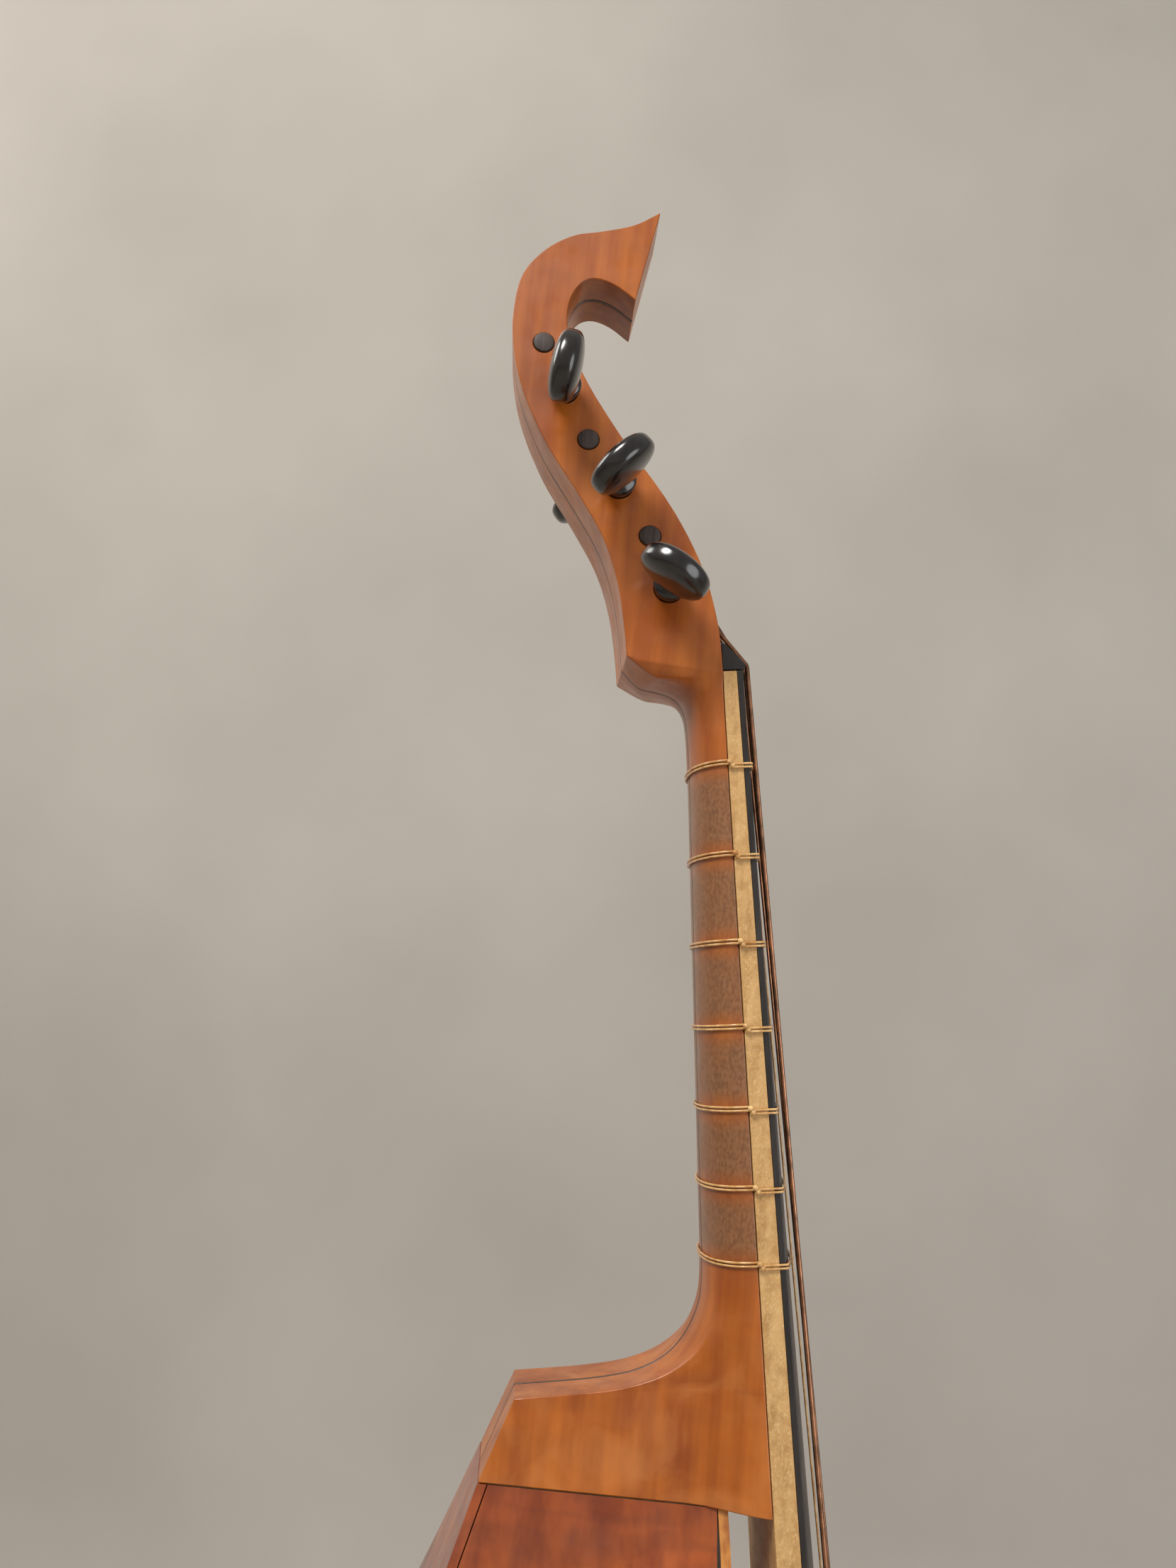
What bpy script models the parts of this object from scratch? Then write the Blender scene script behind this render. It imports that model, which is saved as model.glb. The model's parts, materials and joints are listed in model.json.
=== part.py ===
"""A bass viola da gamba, built from separate pieces as a maker joins them.

Frame: +Z runs up the body to the head, -Y is the belly side, -X is the bass side.
The origin lies on the outer face of the flat back, on the centre line, level with the
widest part of the lower bout. The neck, head, pegs and strings are modelled in the
neck's own frame and parented to an empty that leans back by the neck angle. In that
frame a point is (forward, up, bass): forward of the neck's top plane, up from the nut
end of the fingerboard, and out from the centre plane towards the bass side.
"""
import math

import bmesh
import bpy
import numpy as np
from mathutils import Matrix, Vector

MM = 0.001
GAP = 0.3 * MM

# Scale of the instrument
STRING_LENGTH = 690 * MM
NECK_ANGLE = math.radians(7.5)
BODY_LENGTH = 680 * MM
BODY_DEPTH = 130 * MM
NECK_ORIGIN = Vector((0, -104.1 * MM, 831.3 * MM))

# Joint between heel and body: height at the back and at the belly
JOINT_BACK_Z = 519.8 * MM
JOINT_BELLY_Z = 517.1 * MM
JOINT_FADE = 60 * MM

# Body outline as (half width, distance below the joint) in millimetres
UPPER_BOUT = [(22, 0), (33.5, 24), (53, 58), (90, 99), (131, 138), (154, 172), (160, 201), (155, 232), (141, 262)]
WAIST = [(141, 262), (127, 269), (118.5, 284), (115, 307), (114.5, 332), (117, 360), (125, 387), (141, 408),
         (163, 420)]
LOWER_BOUT = [(163, 420), (181, 455), (192, 490), (195, 520), (190, 562), (171, 606), (136, 645), (86, 669),
              (42, 677.5), (10, 680)]
# The arch of the belly dies out on this smoother line, which passes inside the corners
ARCH_EDGE = [(30, -6), (62, 58), (100, 99), (138, 140), (153, 172), (156, 201), (146, 232), (126, 268),
             (114, 305), (111, 335), (118, 372), (142, 415), (172, 455), (188, 490), (192, 520), (187, 562),
             (168, 606), (134, 643), (90, 672), (60, 690)]
BACK_CANT = math.radians(18)
BACK_FOLD_Z = 403 * MM
PLATE = 3.5 * MM
BELLY_EDGE = 3.7 * MM
BELLY_ARCH = 18 * MM
RIB = 2.2 * MM
LINING_WIDTH = 5 * MM
LINING_HEIGHT = 7 * MM

# Head, pegbox and neck, in the neck frame, as (forward, up) in millimetres
HEAD_FRONT = [(-0.4, 7), (-1.2, 20), (-5.5, 42), (-16.1, 68.1), (-37.6, 104), (-51.4, 131), (-57, 149),
              (-56, 165), (-50.5, 174.1), (-44.4, 175.9), (-36.5, 173), (-27.5, 165.6)]
HEAD_BACK = [(-14.5, 208), (-26, 202), (-40.3, 198.9), (-52.7, 197), (-65.2, 190.3), (-75.5, 178.5),
             (-80.2, 160), (-80.6, 147), (-78, 127.5), (-68.9, 101.2), (-55.6, 76.6), (-46.2, 57.1),
             (-41.3, 38), (-39.4, 18), (-39, 6.5)]
MORTISE_FLOOR = [(-29.5, 16), (-31, 32), (-34.5, 48), (-43, 67), (-55, 88), (-63.5, 107), (-71, 127),
                 (-75.2, 146), (-73, 154.5)]
MORTISE_MOUTH = [(-45, 155), (-20, 131), (-10, 104), (6, 60), (12, 13.5), (1, 12.6)]
PEGBOX_HALF_WIDTH_CHIN = 26.4 * MM
PEGBOX_HALF_WIDTH_HEAD = 18.3 * MM
CHIN_UP = 6.3 * MM
HEAD_UP = 165.7 * MM
CHEEK = 5.6 * MM
STRIP = 1.2 * MM
NECK_ROUNDNESS = 2.3
COVE = 30 * MM
# Neck stations: depth, up at the back, up at the front, half width in front, half width
# of the heel's flat side (all millimetres), and how square the section is, 0 to 1
NECK_STATIONS = [
    (39.0, 6.5, -1.3, 26.4, 26.4, 1.0),
    (32.0, -1.1, -2.6, 25.7, 25.7, 0.5),
    (26.0, -2.8, -4.3, 25.2, 25.2, 0.25),
    (20.0, -4.8, -6.3, 24.9, 24.9, 0.1),
    (16.0, -7.8, -8.8, 24.7, 24.7, 0.03),
    (13.6, -12.5, -12.5, 24.7, 24.7, 0.0),
    (12.6, -21.0, -21.0, 24.8, 24.8, 0.0),
    (12.6, -45.0, -45.0, 25.2, 25.2, 0.0),
    (17.4, -229.0, -229.0, 28.3, 26.0, 0.0),
    (18.6, -243.0, -243.0, 28.5, 22.0, 0.05),
    (20.8, -250.5, -250.5, 28.6, 19.5, 0.16),
    (24.8, -257.6, -257.6, 28.7, 18.6, 0.38),
    (30.0, -263.6, -263.8, 28.9, 18.4, 0.64),
    (38.0, -268.8, -269.1, 28.9, 18.4, 0.86),
    (48.0, -271.9, -272.3, 29.0, 18.4, 1.0),
    (63.0, -273.4, -273.9, 29.0, 18.4, 1.0),
    (79.0, -273.8, -274.6, 29.0, 18.4, 1.0),
    (92.4, -274.0, -275.4, 29.0, 18.4, 1.0),
    (106.4, -300.9, -317.2, 29.7, 22.0, 1.0),
]

# Fingerboard: a light core with a dark playing surface
BOARD_LENGTH = 478 * MM
BOARD_HALF_WIDTH = 24.5 * MM
BOARD_SPREAD = 0.0165
CORE_EDGE = 5.6 * MM
CORE_WEDGE = 0.010
CROWN_NUT = 1.6 * MM
CROWN_RISE = 0.0145
VENEER = 2.2 * MM
NUT_RISE = 0.95 * MM
NUT_LENGTH = 11.5 * MM

# Strings, treble to bass: diameter
STRING_DIAMETERS = [0.62 * MM, 0.76 * MM, 0.94 * MM, 1.2 * MM, 1.55 * MM, 1.9 * MM]
PLAIN_STRINGS = 3
NUT_SPREAD = 19.5 * MM
NUT_CREST = 1.4 * MM
NUT_LEAVE = 3.2 * MM
NUT_DROP = 0.35 * MM
BRIDGE_SPREAD = 34 * MM
BRIDGE_OUTER_FORWARD = 26.6 * MM
BRIDGE_CROWN = 9 * MM
FRETS = 7
FRET_GUT_FIRST = 0.95 * MM
FRET_GUT_LAST = 0.85 * MM
LEAST_TURN_GAP = 0.45 * MM
FRET_SLACK = 0.1 * MM

# Pegs: string number, side (1 bass, -1 treble), forward, up (mm), turn of the head (degrees),
# and how far from the centre plane the string first touches the peg (mm)
PEGS = [
    (1, -1, -26.9, 57.6, 62, 16),
    (2, -1, -50.5, 101.0, 35, 11.2),
    (3, -1, -67.6, 145.8, 74, 9),
    (4, 1, -59.7, 123.5, 75, 6.2),
    (5, 1, -38.8, 80.4, 40, 13.3),
    (6, 1, -20.4, 34.8, -37, 15.5),
]
PEG_TIP_RADIUS = 4.45 * MM
PEG_TAPER = 1 / 30
PEG_CLEARANCE = 0.25 * MM
PEG_HEAD_ACROSS = 30 * MM
PEG_HEAD_ALONG = 27 * MM
PEG_HEAD_THICK = 13 * MM
PEG_HEAD_OUT = 21 * MM
WINDING_TURNS = 3

# Bridge, tailpiece and hook bar
BRIDGE_FOOT_THICK = 9 * MM
BRIDGE_TOP_THICK = 3 * MM
BRIDGE_FOOT_INNER = 27 * MM
BRIDGE_FOOT_OUTER = 47 * MM
# Half of the bridge's outline, (half width, height above the crown of the belly)
BRIDGE_SIDE = [(47, 5.5), (42.5, 9), (37, 20), (34, 33), (35, 47), (39, 58)]
BRIDGE_ARCH = [(26.5, 5), (22, 12), (13, 19.5), (0, 22)]
BRIDGE_HEART = [(0, 34), (7, 43), (9.5, 51), (6, 56.5), (1.5, 55), (0, 52.5)]
BRIDGE_SLOT = [(16, 31), (23, 30), (26, 37), (25, 47), (20, 50), (17, 41)]
TAILPIECE_LENGTH = 190 * MM
TAILPIECE_THICK = 5.5 * MM
TAILPIECE_END_Z = -172 * MM
TAILPIECE_TAIL_RISE = 16 * MM
TAILPIECE_HEAD_RISE = 54 * MM
TAILPIECE_CROWN = 4 * MM
TAILPIECE_SPREAD = 23 * MM
TAILPIECE_HOLE_FROM_HEAD = 11 * MM
TAILPIECE_WIDTHS = [(0, 9), (5, 12.5), (30, 14), (90, 19), (150, 25.5), (183, 30), (190, 28.5)]
HOOK_WIDTH = 12 * MM
HOOK_THICK = 9 * MM
HOOK_SIDE_CLEARANCE = 0.5 * MM

# Braces and blocks inside the body
BASS_BAR_X = -36 * MM
BASS_BAR_WIDTH = 6 * MM
BASS_BAR_DEPTH = 12 * MM
BASS_BAR_START = 130 * MM
BASS_BAR_END = 560 * MM
SOUND_POST_PLACE = (30 * MM, 379 * MM)
SOUND_POST_RADIUS = 6 * MM
SOUND_PLATE_THICK = 4.5 * MM
BACK_BAR = 10 * MM
BACK_BAR_DEPTH = 12 * MM
BLOCK_REACH = 30 * MM
BLOCK_DEPTH = 9 * MM
FIT_TO_ARCH = 0.5 * MM

ROUND_SIDES = 12


def remove_everything():
    for item in list(bpy.data.objects):
        bpy.data.objects.remove(item, do_unlink=True)


def collection(name):
    group = bpy.data.collections.new(name)
    bpy.context.scene.collection.children.link(group)
    return group


remove_everything()
PARTS = collection("viola_da_gamba")
CUTTERS = collection("cutters")
NECK = bpy.data.objects.new("neck_frame", None)
NECK.location = NECK_ORIGIN
NECK.rotation_euler = (-NECK_ANGLE, 0, 0)
PARTS.objects.link(NECK)


def finish(name, colour, roughness, metallic=0.0):
    material = bpy.data.materials.new(name)
    material.use_nodes = True
    shader = material.node_tree.nodes["Principled BSDF"]
    shader.inputs["Base Color"].default_value = (*colour, 1)
    shader.inputs["Roughness"].default_value = roughness
    shader.inputs["Metallic"].default_value = metallic
    return material


VARNISHED_MAPLE = finish("varnished_maple", (0.42, 0.15, 0.03), 0.2)
RIB_MAPLE = finish("rib_maple", (0.30, 0.09, 0.02), 0.22)
SPRUCE = finish("spruce", (0.52, 0.27, 0.08), 0.3)
PLAIN_SPRUCE = finish("plain_spruce", (0.72, 0.56, 0.36), 0.7)
CORE_MAPLE = finish("core_maple", (0.56, 0.34, 0.13), 0.45)
BRIDGE_MAPLE = finish("bridge_maple", (0.62, 0.42, 0.20), 0.5)
EBONY = finish("ebony", (0.012, 0.010, 0.010), 0.28)
GUT = finish("gut", (0.66, 0.50, 0.28), 0.3)
COPPER_WOUND = finish("copper_wound", (0.50, 0.24, 0.13), 0.35, 1.0)


def smooth(points, steps):
    """Points along a Catmull-Rom curve through the given ones, ends included."""
    knots = np.array(points, float)
    ends = np.vstack([2 * knots[0] - knots[1], knots, 2 * knots[-1] - knots[-2]])
    curve = []
    for i in range(len(knots) - 1):
        a, b, c, d = ends[i:i + 4]
        ta = np.linalg.norm(b - a) ** 0.5
        tb = np.linalg.norm(c - b) ** 0.5
        tc = np.linalg.norm(d - c) ** 0.5
        slope_b = tb * ((b - a) / ta - (c - a) / (ta + tb) + (c - b) / tb)
        slope_c = tb * ((c - b) / tb - (d - b) / (tb + tc) + (d - c) / tc)
        for k in range(steps):
            t = k / steps
            curve.append((2 * t**3 - 3 * t**2 + 1) * b + (t**3 - 2 * t**2 + t) * slope_b
                         + (3 * t**2 - 2 * t**3) * c + (t**3 - t**2) * slope_c)
    curve.append(knots[-1])
    return [tuple(float(v) for v in point) for point in curve]


def blend(a, b, t):
    return a + (b - a) * t


def ease(t):
    t = min(1.0, max(0.0, t))
    return t * t * (3 - 2 * t)


def in_neck(forward, up, bass):
    """A point of the neck frame in the neck empty's local axes."""
    return Vector((-bass, -forward, up))


TILT = Matrix.Rotation(-NECK_ANGLE, 3, "X")


def neck_to_world(forward, up, bass):
    return NECK_ORIGIN + TILT @ in_neck(forward, up, bass)


def world_to_neck(point):
    """A world point in the neck empty's local axes."""
    return TILT.inverted() @ (Vector(point) - NECK_ORIGIN)


def add(name, bm, material, parent=None, group=PARTS):
    """Closes a bmesh into an object, with its faces pointing out and soft shading."""
    bm.normal_update()
    bmesh.ops.recalc_face_normals(bm, faces=bm.faces)
    mesh = bpy.data.meshes.new(name)
    bm.to_mesh(mesh)
    bm.free()
    mesh.shade_smooth()
    mesh.set_sharp_from_angle(angle=math.radians(35))
    if material:
        mesh.materials.append(material)
    item = bpy.data.objects.new(name, mesh)
    item.parent = parent
    group.objects.link(item)
    return item


def loft(bm, rings):
    """Skins rings of equal count into one closed body with flat ends."""
    rows = [[bm.verts.new(point) for point in ring] for ring in rings]
    for low, high in zip(rows, rows[1:]):
        for i in range(len(low)):
            j = (i + 1) % len(low)
            bm.faces.new((low[i], low[j], high[j], high[i]))
    bm.faces.new(rows[0][::-1])
    bm.faces.new(rows[-1])
    return bm


def lofted(name, rings, material, parent=None, group=PARTS):
    return add(name, loft(bmesh.new(), rings), material, parent, group)


def cut(target, cutter, operation="DIFFERENCE"):
    """Boolean with a helper object, which is hidden and left out of the build."""
    cutter.hide_render = True
    cutter.display_type = "WIRE"
    step = target.modifiers.new(operation.lower(), "BOOLEAN")
    step.operation = operation
    step.object = cutter


def tube(name, points, radius, material, parent=None, sides=2):
    """A round bar or string: a polyline curve with a bevel and filled ends."""
    curve = bpy.data.curves.new(name, "CURVE")
    curve.dimensions = "3D"
    curve.bevel_depth = radius
    curve.bevel_resolution = sides
    curve.use_fill_caps = True
    spline = curve.splines.new("POLY")
    spline.points.add(len(points) - 1)
    for knot, point in zip(spline.points, points):
        knot.co = (*point, 1)
    curve.materials.append(material)
    item = bpy.data.objects.new(name, curve)
    item.parent = parent
    PARTS.objects.link(item)
    return item


# Widths and heights that several pieces share

def pegbox_half_width(up):
    t = (up - CHIN_UP) / (HEAD_UP - CHIN_UP)
    return blend(PEGBOX_HALF_WIDTH_CHIN, PEGBOX_HALF_WIDTH_HEAD, t)


def board_half_width(along):
    return BOARD_HALF_WIDTH + BOARD_SPREAD * along


def core_top(along, bass):
    """Forward of the core's upper face; along is the distance from the nut."""
    crown = CROWN_NUT + CROWN_RISE * along
    return CORE_EDGE + CORE_WEDGE * along + crown * (1 - (bass / board_half_width(along)) ** 2)


def board_top(along, bass):
    return core_top(along, bass) + GAP + VENEER


def joint_z(y):
    """Height of the joint between heel and body, at a depth from the back's face."""
    return blend(JOINT_BACK_Z, JOINT_BELLY_Z, -y / BODY_DEPTH)


def back_face(z):
    """Depth of the back's outer face, flat below the fold and canted above it."""
    return -max(0.0, z - BACK_FOLD_Z) * math.tan(BACK_CANT)


def string_bass(number, along):
    """Where a string lies across the instrument, numbered 1 to 6 from the treble."""
    place = (number - 3.5) / 2.5
    return place * blend(NUT_SPREAD, BRIDGE_SPREAD, along / STRING_LENGTH)


def string_forward(number, along):
    """Forward of a string's middle, between nut and bridge."""
    radius = STRING_DIAMETERS[number - 1] / 2
    at_nut = board_top(0, string_bass(number, 0)) + NUT_RISE + GAP + radius
    place = (number - 3.5) / 2.5
    at_bridge = BRIDGE_OUTER_FORWARD + BRIDGE_CROWN * (1 - place**2)
    return blend(at_nut, at_bridge, along / STRING_LENGTH)


# Neck, pegbox and head: two halves with a dark strip between them

def neck_section(station, inner, count=6):
    """Half of a neck section, from its front edge round to the middle of its back."""
    depth, up_back, up_front, width, side_width, square = [v * MM for v in station[:5]] + [station[5]]
    points = []
    for k in range(2 * count + 1):
        angle = math.pi / 2 * k / (2 * count)
        power = 2 / NECK_ROUNDNESS
        sin, cos = math.sin(angle), max(0.0, math.cos(angle))
        round_in = GAP + (depth - GAP) * sin**power
        round_out = inner + (width - inner) * cos**power
        reach = min(1.0, math.tan(angle)) if k < 2 * count else 1.0
        box_in = GAP + (depth - GAP) * reach
        side = blend(width, side_width, ease(box_in / COVE))
        box_out = side if k <= count else inner + (side - inner) * math.tan(math.pi / 2 - angle)
        inward = blend(round_in, box_in, square)
        bass = blend(round_out, box_out, square)
        up = blend(up_front, up_back, inward / depth)
        points.append((-inward, up, bass))
    return points


def head_outline(steps=2):
    """The head's outline from the front of the cheek's lower border round to the chin."""
    depth, up_back, up_front = NECK_STATIONS[0][:3]
    front = [(-GAP / MM, up_front)] + smooth(HEAD_FRONT, steps)
    back = smooth(HEAD_BACK, steps)
    return [(forward * MM, up * MM) for forward, up in front + back]


def neck_half(name, side):
    """One half of neck and head: side 1 is the bass half, -1 the treble half."""
    inner = STRIP / 2 + GAP
    bm = bmesh.new()

    def vertex(forward, up, bass):
        return bm.verts.new(in_neck(forward, up, side * bass))

    outline = head_outline()
    rings = [[vertex(*point) for point in neck_section(station, inner)] for station in NECK_STATIONS]
    first = rings[0]
    corner = (len(first) - 1) // 2
    outer = [first[0]] + [vertex(f, u, pegbox_half_width(u)) for f, u in outline[1:-1]] + [first[corner]]
    start = vertex(outline[0][0], outline[0][1], inner)
    middle = [start] + [vertex(f, u, inner) for f, u in outline[1:-1]] + [first[-1]]
    last_forward, last_up, _ = neck_section(NECK_STATIONS[-1], inner)[0]
    end = vertex(last_forward, last_up, inner)
    bm.faces.new(outer + first[corner - 1:0:-1])
    for i in range(len(outline) - 2):
        bm.faces.new((outer[i], outer[i + 1], middle[i + 1], middle[i]))
    bm.faces.new([middle[-2], outer[-2]] + first[corner:])
    for ring, below in zip(rings, rings[1:]):
        for k in range(len(ring) - 1):
            bm.faces.new((ring[k], ring[k + 1], below[k + 1], below[k]))
    bm.faces.new([ring[0] for ring in rings] + [end, start])
    bm.faces.new(rings[-1] + [end])
    bm.faces.new(middle + [ring[-1] for ring in rings[1:]] + [end])
    return add(name, bm, VARNISHED_MAPLE, NECK)


def centre_strip():
    """The strip follows the centre line of both halves, from hook to heel."""
    centre = list(head_outline())
    for station in NECK_STATIONS[1:]:
        centre.append((-station[0] * MM, station[1] * MM))
    centre.append((-GAP, NECK_STATIONS[-1][2] * MM))
    rings = [[in_neck(f, u, side * STRIP / 2) for f, u in centre] for side in (-1, 1)]
    return lofted("neck_centre_strip", rings, EBONY, NECK)


def mortise_cutter():
    """The hollow of the pegbox, which leaves cheeks of even thickness."""
    outline = [(f * MM, u * MM) for f, u in smooth(MORTISE_FLOOR, 2) + MORTISE_MOUTH]
    rings = []
    for side in (-1, 1):
        rings.append([in_neck(f, u, side * (pegbox_half_width(u) - CHEEK)) for f, u in outline])
    return lofted("pegbox_mortise", rings, None, NECK, CUTTERS)


# Pegs

def peg_radius(towards_head, up):
    """The tapered shaft's radius at a distance from the centre plane."""
    return PEG_TIP_RADIUS + PEG_TAPER * (towards_head + pegbox_half_width(up))


def turned(name, profile, material, parent, group=PARTS):
    """A profile of (radius, height), from top to bottom, turned about local Z."""
    bm = bmesh.new()
    verts = [bm.verts.new((radius, 0, height)) for radius, height in profile]
    for a, b in zip(verts, verts[1:]):
        bm.edges.new((a, b))
    mesh = bpy.data.meshes.new(name)
    bm.to_mesh(mesh)
    bm.free()
    if material:
        mesh.materials.append(material)
    item = bpy.data.objects.new(name, mesh)
    item.parent = parent
    group.objects.link(item)
    screw = item.modifiers.new("turn", "SCREW")
    screw.angle = math.tau
    screw.steps = ROUND_SIDES
    screw.render_steps = ROUND_SIDES
    screw.use_merge_vertices = True
    screw.merge_threshold = 0.00005
    return item


def lay_on_axis(item, side, forward, up):
    """Puts a turned piece on a peg's axis, its top towards the peg's head."""
    item.location = in_neck(forward, up, 0)
    item.rotation_euler = (0, -side * math.pi / 2, 0)


def peg(number, side, forward, up, turn):
    """A tapered peg: tip, shaft through both cheeks, collar, neck and oval head."""
    forward, up = forward * MM, up * MM
    half = pegbox_half_width(up)
    collar = half + 4.5 * MM
    head_middle = half + PEG_HEAD_OUT
    profile = [
        (0, head_middle + 4 * MM),
        (3.4 * MM, head_middle + 2 * MM),
        (3.6 * MM, collar + 5.5 * MM),
        (4.4 * MM, collar + 3.6 * MM),
        (6.6 * MM, collar + 2.8 * MM),
        (6.9 * MM, collar + 1.4 * MM),
        (6.4 * MM, collar),
        (peg_radius(collar, up), collar),
        (peg_radius(-half, up), -half),
        (PEG_TIP_RADIUS - 0.8 * MM, -half - 1 * MM),
        (0, -half - 1.2 * MM),
    ]
    shaft = turned(f"peg_{number}", profile, EBONY, NECK)
    lay_on_axis(shaft, side, forward, up)
    bm = bmesh.new()
    bmesh.ops.create_uvsphere(bm, u_segments=16, v_segments=8, radius=1)
    for vert in bm.verts:
        across, along, thick = vert.co
        swell = math.copysign(abs(thick) ** 0.6, thick)
        vert.co = Vector((
            across * PEG_HEAD_ACROSS / 2,
            swell * PEG_HEAD_THICK / 2,
            along * PEG_HEAD_ALONG / 2 + head_middle,
        ))
    disc = add(f"peg_{number}_head", bm, EBONY, shaft, CUTTERS)
    disc.rotation_euler = (0, 0, side * math.radians(turn - 90))
    cut(shaft, disc, "UNION")
    hole = [
        (0, half + 6 * MM),
        (peg_radius(half + 6 * MM, up) + PEG_CLEARANCE, half + 6 * MM),
        (peg_radius(-half - 6 * MM, up) + PEG_CLEARANCE, -half - 6 * MM),
        (0, -half - 6 * MM),
    ]
    hole_cutter = turned(f"peg_{number}_hole", hole, None, NECK, CUTTERS)
    lay_on_axis(hole_cutter, side, forward, up)
    return hole_cutter


# Fingerboard, nut and frets

def across_board(along, columns, height):
    """Points over the board at one distance from the nut, treble to bass."""
    half = board_half_width(along)
    places = [half * (2 * i / columns - 1) for i in range(columns + 1)]
    return [in_neck(height(along, bass), -along, bass) for bass in places]


def fingerboard():
    columns = 8
    stations = 7
    core = []
    veneer = []
    for i in range(stations + 1):
        along = blend(GAP, BOARD_LENGTH, i / stations)
        half = board_half_width(along)
        under = [in_neck(0, -along, half), in_neck(0, -along, -half)]
        core.append(across_board(along, columns, core_top) + under)
        lower = across_board(along, columns, lambda a, b: core_top(a, b) + GAP)
        veneer.append(across_board(along, columns, board_top) + lower[::-1])
    lofted("fingerboard_core", core, CORE_MAPLE, NECK)
    lofted("fingerboard_veneer", veneer, EBONY, NECK)


def nut():
    columns = 6
    rings = []
    for i in range(columns + 1):
        bass = board_half_width(0) * (2 * i / columns - 1) * 0.995
        top = board_top(0, bass) + NUT_RISE
        profile = [(0, GAP), (top - 0.6 * MM, GAP), (top, 1.1 * MM), (top - 0.2 * MM, 2.8 * MM),
                   (top - 1.4 * MM, 4.4 * MM), (1.2 * MM, NUT_LENGTH), (0, NUT_LENGTH)]
        rings.append([in_neck(forward, up, bass) for forward, up in profile])
    lofted("nut", rings, EBONY, NECK)


def neck_depth(along):
    """How deep the rounded neck is behind its top plane, between the first and last fret."""
    top, bottom = NECK_STATIONS[7], NECK_STATIONS[8]
    t = (along + top[1] * MM) / ((top[1] - bottom[1]) * MM)
    return blend(top[0], bottom[0], t) * MM


def fret_ring(along, clear):
    """A loop round neck and board, this far clear of them, from the bass edge's corner."""
    half = board_half_width(along)
    depth = neck_depth(along)
    points = []
    for k in range(13):
        angle = math.pi * k / 12
        power = 2 / NECK_ROUNDNESS
        cos, sin = math.cos(angle), math.sin(angle)
        bass = math.copysign(abs(cos) ** power, cos) * (half + clear)
        points.append((-(depth + clear) * abs(sin) ** power, bass))
    edge = board_top(along, half)
    diagonal = clear * math.sqrt(0.5)
    points += [(edge, -half - clear), (edge + diagonal, -half - diagonal), (edge + clear, -half)]
    for k in range(1, 6):
        bass = half * (k / 3 - 1)
        points.append((board_top(along, bass) + clear, bass))
    points += [(edge + clear, half), (edge + diagonal, half + diagonal), (edge, half + clear)]
    return points


def fret(number):
    """A gut fret: two turns round neck and board, as one unbroken strand."""
    along = STRING_LENGTH * (1 - 2 ** (-number / 12))
    gut = blend(FRET_GUT_FIRST, FRET_GUT_LAST, (number - 1) / (FRETS - 1))
    ring = fret_ring(along, gut / 2 + GAP + FRET_SLACK)
    pitch = gut + LEAST_TURN_GAP
    path = []
    for turn in range(2):
        for k, (forward, bass) in enumerate(ring):
            rise = pitch * (turn - 1 + k / len(ring))
            path.append(in_neck(forward, -along - rise, bass))
    forward, bass = ring[0]
    path.append(in_neck(forward, -along - pitch, bass))
    tube(f"fret_{number}", path, gut / 2, GUT, NECK, sides=1)
    return pitch - gut


# Strings and their windings

def winding_radius(number, out):
    """Radius of the string's middle on its tapered peg, at a distance from the centre plane."""
    return peg_radius(out, PEGS[number - 1][3] * MM) + GAP + STRING_DIAMETERS[number - 1] / 2


def winding_start(number):
    """Where a string first touches its peg: side, distance from the centre plane, angle and axis."""
    _, side, forward, up, _, bass = PEGS[number - 1]
    forward, up, bass = forward * MM, up * MM, bass * MM
    radius = winding_radius(number, bass)
    away_forward, away_up = forward - string_forward(number, 0), up - NUT_CREST
    reach = math.hypot(away_forward, away_up)
    landing = math.atan2(away_up, away_forward) - math.asin(radius / reach) - math.pi / 2
    return side, bass, landing, (forward, up)


def string_ends(number):
    """The straight run behind the nut: where it lands on the peg and where it leaves the nut."""
    side, bass, landing, (forward, up) = winding_start(number)
    radius = winding_radius(number, bass)
    land = in_neck(forward + radius * math.cos(landing), up + radius * math.sin(landing), side * bass)
    leave = in_neck(string_forward(number, 0) - NUT_DROP, NUT_LEAVE, string_bass(number, 0))
    return land, leave


def winding(number):
    """The string's turns on its peg, one unbroken tube, wound in from the peg's own cheek."""
    side, bass, landing, (forward, up) = winding_start(number)
    diameter = STRING_DIAMETERS[number - 1]
    pitch = diameter + LEAST_TURN_GAP
    steps = 20
    path = []
    for k in range(WINDING_TURNS * steps + 1):
        angle = landing + math.tau * k / steps
        out = bass - pitch * k / steps
        radius = winding_radius(number, out)
        path.append(in_neck(forward + radius * math.cos(angle), up + radius * math.sin(angle), side * out))
    land, leave = string_ends(number)
    before = land + (leave - land).normalized() * diameter
    after = path[-1] + (path[-1] - path[-2]).normalized() * diameter
    material = COPPER_WOUND if number > PLAIN_STRINGS else GUT
    tube(f"string_winding_{number}", [before] + path + [after], diameter / 2, material, NECK, sides=1)
    turns = np.array([tuple(p) for p in path])
    least = min(np.linalg.norm(turns[i] - turns[i + steps]) for i in range(len(turns) - steps))
    return least - diameter


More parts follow.
